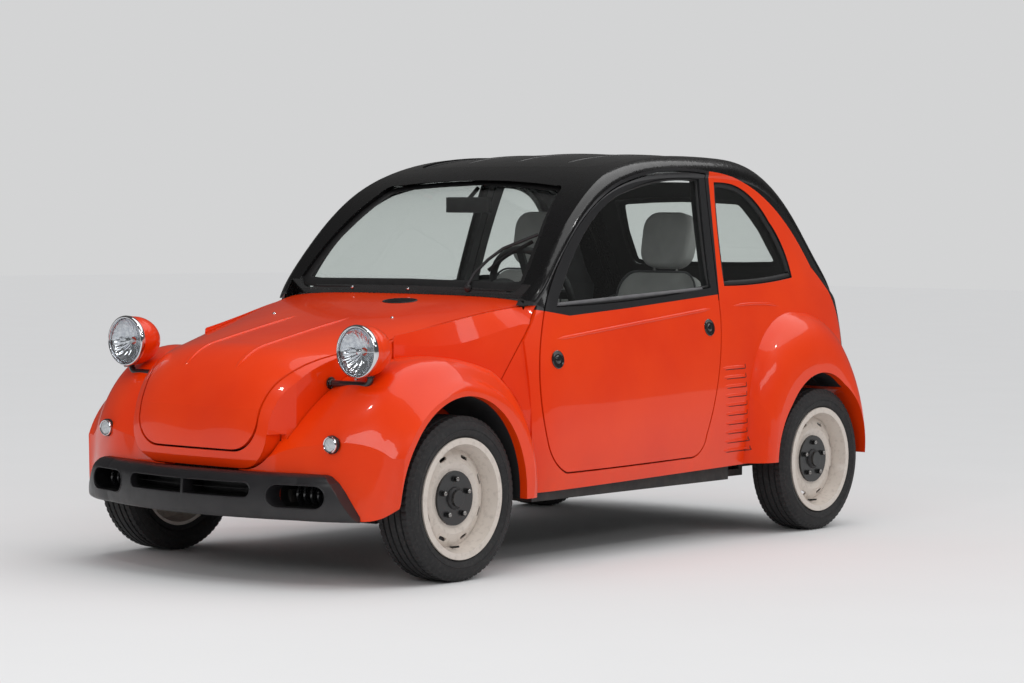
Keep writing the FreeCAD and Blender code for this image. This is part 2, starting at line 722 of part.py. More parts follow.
def lamp_lens():
    return about_lamp_axis([
        (-14, 0), (-10, 45), (1, LAMP_R - 8.4), (20, LAMP_R - 8.4), (39.7, LAMP_R - 8.4), (39.7, 40),
        (39.7, 0), (10, 0),
    ])


def marker_lens():
    return rod((MARKER_X, aft(-437), MARKER_Z), (MARKER_X, aft(-396), MARKER_Z), MARKER_R)


def tail_lens():
    return rod((556, aft(2545), 700), (556, aft(2592), 700), 50)


# ---- cabin furniture ---------------------------------------------------------------------------------------
FLOOR_Z = 232.0
FLOOR_T = 26.0
REAR_FLOOR_Z = 400.0
WELL_X = 540.0
WELL_R = 330.0
SEAT_X = 330.0
WHEEL_CENTRE = (352.0, 868.0, 960.0)
WHEEL_TILT = 24.0
WHEEL_R = 180.0


def floor_pan():
    """Bulkhead, front floor with its tunnel, rear floor stepped up over the axle, sill strips and rails."""
    half = 600.0
    tunnel = 84.0
    top = FLOOR_Z + FLOOR_T
    step_a = 1870.0
    plate = box(-half, half, aft(480), aft(step_a), FLOOR_Z, top)
    plate = plate.cut(box(-tunnel + 12, tunnel - 12, aft(300), aft(2000), 0, FLOOR_Z + 100))
    hump = box(-tunnel, tunnel, aft(480), aft(step_a), FLOOR_Z, FLOOR_Z + 112)
    hump = hump.cut(box(-tunnel + 12, tunnel - 12, aft(300), aft(2000), 0, FLOOR_Z + 100))
    step = box(-half, half, aft(step_a), aft(step_a + FLOOR_T), FLOOR_Z, REAR_FLOOR_Z + FLOOR_T)
    step = step.cut(box(-tunnel + 12, tunnel - 12, aft(300), aft(2000), 0, FLOOR_Z + 100))
    rear = box(-WELL_X + 15, WELL_X - 15, aft(step_a), aft(2522), REAR_FLOOR_Z, REAR_FLOOR_Z + FLOOR_T)
    bulkhead = box(-610, 610, aft(480), aft(512), FLOOR_Z, 850)
    bulkhead = bulkhead.cut(box(-tunnel + 12, tunnel - 12, aft(300), aft(2000), 0, FLOOR_Z + 100))
    pieces = [plate, hump, step, rear, bulkhead]
    for side, sign in SIDES:
        strip = lengthwise([(480, FLOOR_Z), (1700, FLOOR_Z), (1700, sill_z(1700) - 1.0), (480, sill_z(480) - 1.0)],
                           586, 668)
        rail = box(312, 368, aft(-436), aft(490), 240, 320)
        pieces += [on_side(strip, sign), on_side(rail, sign)]
    pieces.append(box(-320, 320, aft(-436), aft(-396), 240, 320))
    return fuse(pieces).removeSplitter()


# x, aft and height along the wiper from its spindle, with the radius of the run that follows
WIPER = (((299, 561, 970), 7), ((299, 553, 991), 6), ((300, 592, 1036), 6), ((329, 636, 1087), 6),
         ((370, 672, 1128), 6), ((491, 725, 1181), 6))


def seat(sign):
    cushion = box(SEAT_X - 235, SEAT_X + 235, aft(1120), aft(1600), 330, 480)
    base = box(SEAT_X - 190, SEAT_X + 190, aft(1160), aft(1560), FLOOR_Z + FLOOR_T + 0.3, 335)
    back = box(-230, 230, -55, 55, 0, 620)
    back.rotate(Vector(0, 0, 0), Vector(1, 0, 0), -16)
    back.translate(Vector(SEAT_X, aft(1560), 430))
    rest = box(-122, 122, -45, 45, 0, 240)
    rest.rotate(Vector(0, 0, 0), Vector(1, 0, 0), -12)
    rest.translate(Vector(SEAT_X, aft(1735), 1040))
    neck = rod((SEAT_X, aft(1728), 1000), (SEAT_X, aft(1738), 1060), 16)
    return on_side(fuse([cushion, base, back, rest, neck]), sign)


def rear_bench():
    floor = REAR_FLOOR_Z + FLOOR_T + 0.3
    cushion = box(-490, 490, aft(1915), aft(2300), floor, floor + 130)
    back = box(-480, 480, -48, 48, 0, 430)
    back.rotate(Vector(0, 0, 0), Vector(1, 0, 0), -18)
    back.translate(Vector(0, aft(2285), 500))
    return fuse([cushion, back])


def dashboard(space):
    wire = edge_chain([Vector(-580, aft(a), z) for a, z in (
        (546, 700), (546, 790), (546, 880), (610, 945), (700, 925), (745, 900), (750, 850),
        (752, 780), (720, 720), (650, 690), (600, 690), (560, 692))])
    bar = Part.Face(wire).extrude(Vector(1160, 0, 0))
    column = rod((WHEEL_CENTRE[0], aft(640), 858), (WHEEL_CENTRE[0], aft(835), 945), 22)
    return bar.common(space).fuse(column)


def steering_axis():
    tilt = math.radians(WHEEL_TILT)
    return Vector(0, math.cos(tilt), math.sin(tilt))


def steering_wheel():
    ring = Part.makeTorus(WHEEL_R, 13)
    hub = Part.makeCylinder(48, 40, Vector(0, 0, -22))
    spokes = [box(-WHEEL_R, WHEEL_R, -14, 14, -10, 4)]
    spoke = box(-14, 14, -WHEEL_R, 0, -10, 4)
    wheel = fuse([ring, hub, spoke] + spokes)
    wheel.rotate(Vector(0, 0, 0), Vector(1, 0, 0), WHEEL_TILT - 90)
    wheel.translate(Vector(WHEEL_CENTRE[0], aft(WHEEL_CENTRE[1]), WHEEL_CENTRE[2]))
    return wheel


def mirror_inside():
    glass = box(-105, 105, -11, 11, -29, 29)
    glass.translate(Vector(-60, aft(985), 1290))
    stem = rod((-60, aft(985), 1312), (-60, aft(1040), 1356), 8)
    return glass.fuse(stem)


def wiper():
    """Arm and blade standing just off the screen."""
    rods = []
    for (start, radius), (end, _) in zip(WIPER, WIPER[1:]):
        rods.append(rod((start[0], aft(start[1]), start[2]), (end[0], aft(end[1]), end[2]), radius))
    return fuse(rods)


def engine_block():
    return box(-300, 300, aft(-330), aft(160), 262, 640)


def radiator():
    return box(-290, 290, aft(-426), aft(-396), 320.3, 560)


# ---- body pieces ------------------------------------------------------------------------------------
def build():
    parts = {}
    outer = cabin_solid(0)
    inner = cabin_solid(WALL, front=WALL, back=WALL)
    shell = outer.cut(inner)

    rear_arch = arch_opening(2211, ARCH_HALF["rear"], ARCH_RISE, 400, 900)
    front_arch = arch_opening(2, ARCH_HALF["front"], ARCH_RISE, 430, 900)
    rear_well = fuse([
        Part.makeCylinder(WELL_R, 300, Vector(WELL_X, REAR_AXLE_Y, TYRE_R), Vector(1, 0, 0)),
        box(WELL_X, 840, REAR_AXLE_Y - WELL_R, REAR_AXLE_Y + 300, 0, TYRE_R),
    ])
    well_skin = Part.makeCylinder(WELL_R + 15, 120, Vector(WELL_X - 15, REAR_AXLE_Y, TYRE_R), Vector(1, 0, 0))
    well_skin = well_skin.common(box(0, 900, -2000, 2000, REAR_FLOOR_Z, 2000)).cut(rear_well)
    door_zone = across(DOOR_DEPTH, -2000, 2000)
    hole_zone = door_zone.copy()
    hole_zone.translate(Vector(-DOOR_GAP, 0, 0))
    door_hole = side_plug(DOOR, 420, 760, -24 + DOOR_GAP, 8 + DOOR_GAP).common(hole_zone)
    door_plug = side_plug(DOOR, 420, 760, -24, 8).common(door_zone)
    glass_hole = side_plug(DOOR_GLASS, 380, 800)
    quarter_hole = side_plug(QUARTER_GLASS, 380, 800)
    hoop_in = side_plug(HOOP, 240, 900).common(across(SIDE_DEPTH, -2000, 2000))
    screen_hole = front_plug(WINDSCREEN, aft(400), aft(1200))
    gate_hole = front_plug(TAILGATE, aft(2130), aft(2700), GATE_GAP, GATE_GAP)
    gate_plug = front_plug(TAILGATE, aft(2130), aft(2700))
    tail_glass_hole = front_plug(TAIL_GLASS, aft(2130), aft(2800))
    roof_hole = roof_plug(0.0)

    rear_fender = fender_volume(REAR_FENDER, 292, 22)
    front_fender = fender_volume(FRONT_FENDER, 228, 10)
    front_side = front_fender.fuse(nose_side(0)).cut(nose_side(NOSE_SIDE_T))
    nose = nose_solid(0)
    nose_inner = nose_solid(BONNET_T)
    lid_well = lid_plug(LID_GAP)
    split = lengthwise(SPLIT, 300, 900)
    split_gap = lengthwise([(a - SPLIT_GAP, z) for a, z in SPLIT], 300, 900)

    # left side is made first, the right side is its mirror image
    side_shell = shell.common(half_space(1, 250))
    body_side = side_shell.common(hoop_in)
    body_side = body_side.cut(box(0, 900, -2000, aft(474), 0, 2000))
    hip = rear_fender.cut(inner)
    cowl_side = front_side.common(split).cut(inner).common(box(430, 900, -2000, aft(560), 262, 2000))
    body_side = fuse([body_side, hip, cowl_side]).cut(lengthwise(AHEAD, 300, 900))
    body_side = body_side.cut(fuse([door_hole, quarter_hole, rear_arch, rear_well, front_arch]))
    body_side = body_side.cut(box(0, 480, -2000, 2000, 0, 2000)).cut(box(0, 612, aft(470), aft(572), 0, 853))
    body_side = body_side.cut(box(0, 600.3, aft(508), aft(604), 853, 2000)).cut(lid_well)
    lens = tail_lens()
    body_side = body_side.fuse(well_skin).cut(fuse([screen_hole, lens]))
    parts["body_side_left"] = biggest(body_side)

    door = side_shell.common(door_plug).cut(glass_hole)
    parts["door_left"] = biggest(door)
    pane = cabin_solid(14).cut(cabin_solid(20))
    side_pane = pane.common(half_space(1, 250))
    parts["door_glass_left"] = biggest(side_pane.common(side_plug(DOOR_GLASS, 380, 800, -0.2, -0.2)))
    quarter = biggest(side_pane.common(side_plug(QUARTER_GLASS, 380, 800, -0.2, -0.2)))
    parts["quarter_glass"] = Part.Compound([quarter, mirrored(quarter)])
    for name in ("body_side", "door", "door_glass"):
        parts[name + "_right"] = mirrored(parts[name + "_left"])

    above = box(-900, 900, -2000, 2000, 560, 2000)
    hoop = shell.cut(hoop_in).cut(mirrored(hoop_in)).common(above)
    hoop = hoop.cut(fuse([screen_hole, gate_hole, roof_hole])).cut(box(-900, 900, -2000, aft(516), 0, 2000))
    hoop = hoop.cut(box(-600.3, 600.3, aft(500), aft(604), 0, SCUTTLE_TOP)).cut(lid_well)
    hoop = hoop.cut(box(-480, 480, aft(2400), 2000, 0, 960))
    hoop = hoop.cut(fuse([rear_fender, mirrored(rear_fender), lens, mirrored(lens)]))
    hoop = hoop.cut(door_hole).cut(mirrored(door_hole))
    parts["roof_hoop"] = biggest(hoop)
    tail = shell.common(box(-480, 480, aft(2400), 2000, 262, 959.7)).cut(gate_hole)
    parts["tail_panel"] = biggest(tail)
    roof = cabin_solid(8).cut(inner).common(roof_plug(-0.3))
    parts["roof_panel"] = biggest(roof)
    screen = cabin_solid(26).cut(cabin_solid(32))
    parts["windscreen"] = biggest(screen.common(front_plug(WINDSCREEN, aft(400), aft(1200), -0.2, -0.2)))
    gate = shell.common(gate_plug).cut(tail_glass_hole)
    parts["tailgate"] = biggest(gate)
    parts["tailgate_glass"] = biggest(pane.common(front_plug(TAIL_GLASS, aft(2130), aft(2800), -0.2, -0.2)))
    scuttle = shell.common(box(-600, 600, aft(516), aft(600), 860, SCUTTLE_TOP - 0.3)).cut(lid_well).cut(screen_hole)
    parts["scuttle"] = biggest(scuttle.cut(door_hole).cut(mirrored(door_hole)))

    # nose, lid and fenders
    lid = nose.cut(nose_solid(LID_T)).common(lid_plug(0))
    parts["bonnet"] = biggest(lid)
    collar_end = box(-900, 900, -2000, aft(COLLAR_END), 0, 2000)
    collar_space = shield_plug(4).common(collar_end).fuse(lid_well)
    marker = marker_lens()
    bumper = front_bumper()
    front = front_side.fuse(pillar_corner()).cut(split_gap).cut(front_arch)
    front = front.cut(collar_space).cut(bumper).cut(marker)
    front = front.cut(lengthwise(FENDER_HOLLOW, 0, 440)).cut(box(0, 900, aft(0), 2000, 0, 262))
    front = front.cut(box(0, 345, aft(-700), aft(0), 0, 374)).cut(box(0, 376, aft(-448), aft(0), 0, 386))
    front = front.cut(round_slot(*FOG, aft(-700), aft(-376))).cut(box(0, 611, aft(474), aft(620), 0, 853))
    front = front.cut(box(0, 600.3, aft(508), aft(604), 853, 2000)).cut(parts["roof_hoop"])
    front = front.cut(box(0, 900, aft(474), aft(604), 927.7, 2000))
    front = front.cut(across(FENDER_TAPER, aft(-700), aft(-150))).cut(fender_corner())
    front = front.cut(fuse([box(0, 330, aft(-447), aft(-424), 0, 512), box(0, 296, aft(-447), aft(-386), 0, 570)]))
    parts["front_fender_left"] = biggest(front)
    skirt = nose.common(shield_plug(0)).cut(nose_inner.common(shield_plug(-BONNET_T)))
    skirt = skirt.cut(lid_well).cut(box(-SKIRT_X, SKIRT_X, aft(-396), aft(700), 0, SKIRT_Z)).common(collar_end)
    skirt = skirt.cut(box(-SKIRT_X, SKIRT_X, aft(-430), aft(700), 0, SKIRT_FRONT_Z))
    skirt = skirt.cut(box(-900, 900, aft(SKIRT_REAR), aft(700), 0, SKIRT_Z))
    parts["nose_panel"] = biggest(skirt)
    parts["front_fender_left"] = biggest(parts["front_fender_left"].cut(parts["nose_panel"]))
    parts["front_fender_right"] = mirrored(parts["front_fender_left"])
    parts["front_bumper"] = biggest(bumper)
    parts["rear_bumper"] = biggest(rear_bumper().cut(rear_fender).cut(mirrored(rear_fender)).cut(outer))

    housing = biggest(headlamp_housing().cut(front_fender))
    parts["headlamp_housings"] = Part.Compound([housing, mirrored(housing)])
    glass = lamp_lens()
    parts["front_lamps"] = Part.Compound([glass, mirrored(glass), marker, mirrored(marker)])
    parts["tail_lamps"] = Part.Compound([lens, mirrored(lens)])

    space = cabin_solid(WALL + 16, front=WALL + 16, back=WALL + 16)
    parts["dashboard"] = biggest(dashboard(space).cut(parts["scuttle"]))
    parts["seat_left"] = seat(1)
    parts["seat_right"] = seat(-1)
    parts["rear_bench"] = rear_bench()
    parts["steering_wheel"] = steering_wheel()
    parts["mirror_inside"] = mirror_inside()
    parts["wiper"] = biggest(wiper().cut(parts["roof_hoop"]).cut(parts["scuttle"]))
    parts["engine_block"] = engine_block()
    parts["radiator"] = radiator()
    parts["floor_pan"] = floor_pan()
    parts.update(wheel_pieces())
    parts["knuckle_left"] = knuckle()
    parts["knuckle_right"] = mirrored(knuckle())
    parts["front_suspension"] = front_suspension()
    parts["rear_axle"] = rear_axle()
    parts["exhaust"] = exhaust()
    return parts


def biggest(shape):
    return max(shape.Solids, key=lambda s: s.Volume)


def main():
    os.makedirs(OUT, exist_ok=True)
    for name, shape in build().items():
        shape.exportStep(os.path.join(OUT, name + ".step"))
        print(name, len(shape.Solids), round(shape.Volume / 1e6, 2), shape.isValid())


if __name__ == "__main__":
    main()
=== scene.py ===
import math

import bmesh
import bpy
from mathutils import Matrix, Vector
from mathutils.bvhtree import BVHTree


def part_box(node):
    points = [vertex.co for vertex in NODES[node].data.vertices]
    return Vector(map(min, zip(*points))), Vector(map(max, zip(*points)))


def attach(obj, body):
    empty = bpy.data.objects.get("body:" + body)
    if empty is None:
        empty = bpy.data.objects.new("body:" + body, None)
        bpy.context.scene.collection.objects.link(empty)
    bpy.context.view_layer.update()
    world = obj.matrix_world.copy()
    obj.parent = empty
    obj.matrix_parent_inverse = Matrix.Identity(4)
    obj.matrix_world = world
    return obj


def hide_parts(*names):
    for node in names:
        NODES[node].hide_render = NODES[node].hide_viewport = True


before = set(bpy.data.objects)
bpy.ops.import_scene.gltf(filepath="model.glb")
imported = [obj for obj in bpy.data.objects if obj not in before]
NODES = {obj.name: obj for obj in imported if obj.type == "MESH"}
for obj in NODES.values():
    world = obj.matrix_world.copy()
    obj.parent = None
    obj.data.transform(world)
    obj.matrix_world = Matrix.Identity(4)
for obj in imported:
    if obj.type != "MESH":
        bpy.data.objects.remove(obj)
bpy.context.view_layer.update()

MM = 0.001


# ---- places read from the frame ----
def centre_of(node):
    low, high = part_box(node)
    return (low + high) / 2


FRONT_HUB = centre_of("tyre_front_left")
REAR_HUB = centre_of("tyre_rear_left")
AXLE_Y = FRONT_HUB.y
TYRE_R = (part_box("tyre_front_left")[1].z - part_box("tyre_front_left")[0].z) / 2
TYRE_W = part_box("tyre_front_left")[1].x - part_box("tyre_front_left")[0].x


def at(x, aft, z):
    """A point given in millimetres: x, distance behind the front axle, height."""
    return Vector((x * MM, AXLE_Y + aft * MM, z * MM))


# ---- shader building blocks ----
def node(tree, kind, **settings):
    made = tree.nodes.new("ShaderNode" + kind)
    for key, value in settings.items():
        if hasattr(made, key):
            setattr(made, key, value)
        else:
            made.inputs[key.replace("_", " ")].default_value = value
    return made


def join(tree, source, target):
    tree.links.new(source, target)


def maths(tree, operation, a, b=None):
    made = node(tree, "Math", operation=operation)
    for socket, value in zip(made.inputs, (a, b)):
        if value is None:
            continue
        if isinstance(value, (int, float)):
            socket.default_value = value
        else:
            join(tree, value, socket)
    return made.outputs[0]


def spread(tree, value, low, high, from_low=0.0, from_high=1.0):
    made = node(tree, "MapRange", From_Min=from_low, From_Max=from_high, To_Min=low, To_Max=high)
    join(tree, value, made.inputs["Value"])
    return made.outputs["Result"]


def noise(tree, place, scale, detail=3.0):
    made = node(tree, "TexNoise", Scale=scale, Detail=detail)
    join(tree, place, made.inputs["Vector"])
    return made.outputs["Fac"]


def mixed(tree, factor, a, b):
    """Colour between a and b, each a tuple or a socket."""
    made = node(tree, "Mix", data_type="RGBA")
    join(tree, factor, made.inputs["Factor"])
    for socket, value in ((made.inputs[6], a), (made.inputs[7], b)):
        if isinstance(value, tuple):
            socket.default_value = (*value, 1.0)
        else:
            join(tree, value, socket)
    return made.outputs[2]


def bumped(tree, height, distance, normal=None):
    made = node(tree, "Bump", Distance=distance, Strength=1.0)
    join(tree, height, made.inputs["Height"])
    if normal is not None:
        join(tree, normal, made.inputs["Normal"])
    return made.outputs["Normal"]


def material(name):
    made = bpy.data.materials.new(name)
    made.use_nodes = True
    tree = made.node_tree
    tree.nodes.clear()
    out = node(tree, "OutputMaterial")
    place = node(tree, "TexCoord").outputs["Object"]
    return made, tree, out, place


def surfaced(made, tree, out, shader, colour, rough, normal):
    """Joins colour, roughness and normal to a shader, and the shader to the output."""
    join(tree, colour, shader.inputs["Base Color"])
    join(tree, rough, shader.inputs["Roughness"])
    if normal is not None:
        join(tree, normal, shader.inputs["Normal"])
    join(tree, shader.outputs[0], out.inputs["Surface"])
    return made


def hub_radius(tree, place, hub):
    """Distance from a wheel's axis."""
    offset = node(tree, "VectorMath", operation="SUBTRACT")
    join(tree, place, offset.inputs[0])
    offset.inputs[1].default_value = hub
    flat_offset = node(tree, "VectorMath", operation="MULTIPLY")
    join(tree, offset.outputs[0], flat_offset.inputs[0])
    flat_offset.inputs[1].default_value = (0.0, 1.0, 1.0)
    radius = node(tree, "VectorMath", operation="LENGTH")
    join(tree, flat_offset.outputs[0], radius.inputs[0])
    return radius.outputs["Value"]


def shade(name, colour, variant, rough, spots=6.0, grain=None, grain_depth=0.00005, rough_by=0.06, edge=0.0,
        dust=None, **fixed):
    """A Principled surface with mottled colour, uneven roughness and a fine grain."""
    made, tree, out, place = material(name)
    shader = node(tree, "BsdfPrincipled", **fixed)
    patches = noise(tree, place, spots, 4.0)
    tone = mixed(tree, spread(tree, patches, 0.0, 1.0, 0.35, 0.65), colour, variant)
    if dust:
        tint, low, high = dust
        split = node(tree, "SeparateXYZ")
        join(tree, place, split.inputs[0])
        height = spread(tree, split.outputs["Z"], 1.0, 0.0, low, high)
        film = maths(tree, "MULTIPLY", height, spread(tree, noise(tree, place, 22.0, 6.0), 0.0, 0.5, 0.3, 0.75))
        tone = mixed(tree, film, tone, tint)
    streaks = noise(tree, place, spots * 5.0, 5.0)
    uneven = spread(tree, streaks, rough - rough_by, rough + rough_by, 0.3, 0.7)
    normal = None
    if edge:
        normal = node(tree, "Bevel", samples=4, Radius=edge).outputs["Normal"]
    if grain:
        normal = bumped(tree, noise(tree, place, grain, 2.0), grain_depth, normal=normal)
    return surfaced(made, tree, out, shader, tone, uneven, normal)


def srgb(r, g, b):
    """Linear colour of an 8-bit screen colour."""
    def one(v):
        v /= 255.0
        return v / 12.92 if v <= 0.04045 else ((v + 0.055) / 1.055) ** 2.4
    return (one(r), one(g), one(b))


ORANGE = srgb(238, 62, 5)
ORANGE_DEEP = srgb(230, 54, 4)

paint = shade("body_paint", ORANGE, ORANGE_DEEP, 0.32, spots=3.0, grain=900.0, grain_depth=0.000012,
    rough_by=0.03, edge=0.0025, dust=(srgb(196, 66, 34), 0.10, 0.42), Coat_Weight=0.5, Coat_Roughness=0.03,
    Specular_IOR_Level=0.2)
black = shade("black_paint", srgb(11, 10, 12), srgb(8, 8, 9), 0.28, spots=5.0, grain=1100.0,
    grain_depth=0.00002, edge=0.003, Coat_Weight=0.6, Coat_Roughness=0.06, Specular_IOR_Level=0.3)
plastic = shade("bumper_plastic", srgb(38, 37, 39), srgb(31, 30, 32), 0.34, spots=7.0, grain=1500.0,
    grain_depth=0.00006, edge=0.004, dust=(srgb(66, 62, 60), 0.2, 0.30))
trim = shade("trim_plastic", srgb(44, 43, 45), srgb(36, 35, 37), 0.55, spots=14.0, grain=900.0,
    grain_depth=0.00012, edge=0.003)
soft_trim = shade("soft_trim", srgb(96, 95, 97), srgb(84, 83, 86), 0.8, spots=20.0, grain=600.0,
    grain_depth=0.0002, Sheen_Weight=0.2)
rubber_seal = shade("seal_rubber", srgb(26, 26, 27), srgb(20, 20, 21), 0.6, spots=30.0, grain=700.0,
    grain_depth=0.00005)
chassis = shade("chassis_paint", srgb(38, 38, 40), srgb(30, 29, 29), 0.55, spots=9.0, grain=260.0,
    grain_depth=0.0003, dust=(srgb(92, 84, 74), 0.05, 0.45))
iron = shade("engine_iron", srgb(112, 112, 112), srgb(88, 86, 84), 0.5, spots=16.0, grain=340.0,
    grain_depth=0.0004, edge=0.004, Metallic=0.7)
chrome = shade("chrome", srgb(225, 226, 228), srgb(214, 216, 220), 0.09, spots=12.0, grain=500.0,
    grain_depth=0.00001, rough_by=0.04, Metallic=1.0)
steel = shade("bright_steel", srgb(168, 166, 164), srgb(148, 146, 144), 0.3, spots=60.0, grain=700.0,
    grain_depth=0.00004, Metallic=1.0)
carpet = shade("carpet", srgb(52, 52, 54), srgb(40, 40, 42), 0.95, spots=60.0, grain=1400.0,
    grain_depth=0.0012, Sheen_Weight=0.3)


def pane_material(name, tint, gloss=0.02):
    """Window glass: what is behind it, tinted, with the sheen of its surface on top."""
    made, tree, out, place = material(name)
    clear = node(tree, "BsdfTransparent", Color=(*tint, 1.0))
    mirror = node(tree, "BsdfGlossy", Color=(1.0, 1.0, 1.0, 1.0))
    join(tree, spread(tree, noise(tree, place, 9.0), gloss * 0.5, gloss * 1.5), mirror.inputs["Roughness"])
    facing = node(tree, "LayerWeight", Blend=0.5).outputs["Facing"]
    sheen = maths(tree, "MULTIPLY", maths(tree, "POWER", facing, 4.0), 0.75)
    blend = node(tree, "MixShader")
    join(tree, maths(tree, "ADD", sheen, 0.035), blend.inputs[0])
    join(tree, clear.outputs[0], blend.inputs[1])
    join(tree, mirror.outputs[0], blend.inputs[2])
    join(tree, blend.outputs[0], out.inputs["Surface"])
    return made


window = pane_material("window_glass", (0.94, 0.96, 0.95))
lamp_glass = pane_material("lamp_glass", (0.93, 0.95, 0.96), 0.03)


BLACK_CENTRE_R = 0.0938           # the wheel's black centre


def wheel_paint_material(name, hub):
    """Cream enamel, with a black centre inside the hub cap's radius."""
    made, tree, out, place = material(name)
    shader = node(tree, "BsdfPrincipled", Coat_Weight=0.5, Coat_Roughness=0.12)
    outside = maths(tree, "GREATER_THAN", hub_radius(tree, place, hub), BLACK_CENTRE_R)
    cream = mixed(tree, noise(tree, place, 7.0), srgb(216, 206, 196), srgb(204, 194, 184))
    dirt = spread(tree, noise(tree, place, 60.0, 6.0), 0.0, 0.35, 0.52, 0.8)
    cream = mixed(tree, dirt, cream, srgb(120, 108, 98))
    dark = mixed(tree, noise(tree, place, 30.0), srgb(22, 22, 23), srgb(16, 16, 17))
    rounded = node(tree, "Bevel", samples=4, Radius=0.002).outputs["Normal"]
    return surfaced(made, tree, out, shader, mixed(tree, outside, dark, cream),
        spread(tree, noise(tree, place, 40.0), 0.3, 0.42),
        bumped(tree, noise(tree, place, 500.0), 0.00003, normal=rounded))


def tyre_material(name, hub):
    """Rubber with fine mould lines round the sidewall."""
    made, tree, out, place = material(name)
    shader = node(tree, "BsdfPrincipled", Specular_IOR_Level=0.35)
    tone = mixed(tree, noise(tree, place, 14.0, 5.0), srgb(44, 43, 44), srgb(35, 35, 36))
    scuff = spread(tree, noise(tree, place, 90.0, 6.0), 0.0, 0.6, 0.5, 0.85)
    tone = mixed(tree, scuff, tone, srgb(70, 68, 66))
    lines = maths(tree, "SINE", maths(tree, "MULTIPLY", hub_radius(tree, place, hub), 3200.0))
    normal = bumped(tree, noise(tree, place, 800.0), 0.0001, normal=bumped(tree, lines, 0.00012))
    return surfaced(made, tree, out, shader, tone, spread(tree, noise(tree, place, 50.0), 0.55, 0.75), normal)


def cloth_material(name, light, dark, pitch=0.0022, depth=0.0004):
    """Woven seat cloth: two sets of threads, mottled, with a soft sheen."""
    made, tree, out, place = material(name)
    shader = node(tree, "BsdfPrincipled", Sheen_Weight=0.45, Sheen_Roughness=0.5, Specular_IOR_Level=0.2)
    split = node(tree, "SeparateXYZ")
    join(tree, place, split.inputs[0])
    threads = 2.0 * math.pi / pitch
    across = maths(tree, "SINE", maths(tree, "MULTIPLY", split.outputs["X"], threads))
    along = maths(tree, "ADD", split.outputs["Y"], split.outputs["Z"])
    along = maths(tree, "SINE", maths(tree, "MULTIPLY", along, threads))
    weave = maths(tree, "MULTIPLY", across, along)
    fuzz = noise(tree, place, 1800.0, 2.0)
    height = maths(tree, "ADD", maths(tree, "MULTIPLY", weave, 0.5), fuzz)
    tone = mixed(tree, spread(tree, noise(tree, place, 12.0, 6.0), 0.0, 1.0, 0.3, 0.7), light, dark)
    tone = mixed(tree, spread(tree, weave, 0.0, 0.35, -1.0, 1.0), tone, dark)
    return surfaced(made, tree, out, shader, tone, spread(tree, fuzz, 0.82, 0.98), bumped(tree, height, depth))


cloth = cloth_material("seat_cloth", srgb(196, 194, 192), srgb(172, 170, 169))
piping = cloth_material("seat_piping", srgb(88, 87, 90), srgb(70, 70, 72), 0.0012)


# ---- mesh building blocks ----
def piece(name, mesh, skin, body="body", slot="trim_plastic"):
    """Puts a mesh in the scene as a named piece riding on a body."""
    mesh.name = name
    thing = bpy.data.objects.new(name, mesh)
    bpy.context.scene.collection.objects.link(thing)
    mesh.materials.clear()
    for one in skin if isinstance(skin, (list, tuple)) else [skin]:
        mesh.materials.append(one)
    mesh.shade_smooth()
    mesh.set_sharp_from_angle(angle=math.radians(38))
    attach(thing, body)
    return thing


def mesh_from(points, faces):
    mesh = bpy.data.meshes.new("mesh")
    mesh.from_pydata([tuple(p) for p in points], [], faces)
    mesh.update()
    return mesh


def finish_bmesh(work):
    mesh = bpy.data.meshes.new("mesh")
    bmesh.ops.recalc_face_normals(work, faces=work.faces)
    work.to_mesh(mesh)
    work.free()
    return mesh


def ring_surface(profile, steps, origin, axis="X", closed=False, relief=None):
    """Revolves (axial, radius) points; relief(step, i) gives a change of radius for tread and flutes."""
    points = []
    count = len(profile)
    for step in range(steps):
        angle = 2 * math.pi * step / steps
        ca, sa = math.cos(angle), math.sin(angle)
        for i, (a, r) in enumerate(profile):
            if relief:
                da, dr = relief(step, i)
                a, r = a + da, r + dr
            if axis == "X":
                points.append(origin + Vector((a, r * ca, r * sa)))
            else:
                points.append(origin + Vector((r * ca, a, r * sa)))
    faces = []
    spans = count if closed else count - 1
    for step in range(steps):
        following = (step + 1) % steps
        for i in range(spans):
            j = (i + 1) % count
            quad = (step * count + i, step * count + j, following * count + j, following * count + i)
            faces.append(quad)
    work = bmesh.new()
    work.from_mesh(mesh_from(points, faces))
    bmesh.ops.remove_doubles(work, verts=work.verts, dist=1e-6)
    return finish_bmesh(work)


def lamp_ring(profile, steps, origin, closed=False):
    """A ring about the car's length, from (depth, radius) in millimetres."""
    return ring_surface([(d * MM, r * MM) for d, r in profile], steps, origin, axis="Y", closed=closed)


def smooth_line(points, per=8, closed=False):
    """Catmull-Rom points through a short list."""
    pts = [Vector(p) for p in points]
    count = len(pts)
    out = []
    spans = count if closed else count - 1
    for i in range(spans):
        p1, p2 = pts[i], pts[(i + 1) % count]
        p0 = pts[(i - 1) % count] if closed or i > 0 else p1 * 2 - p2
        p3 = pts[(i + 2) % count] if closed or i + 2 < count else p2 * 2 - p1
        for k in range(per):
            t = k / per
            out.append(0.5 * ((2 * p1) + (p2 - p0) * t + (2 * p0 - 5 * p1 + 4 * p2 - p3) * t * t
                + (3 * p1 - p0 - 3 * p2 + p3) * t ** 3))
    if not closed:
        out.append(pts[-1])
    return out


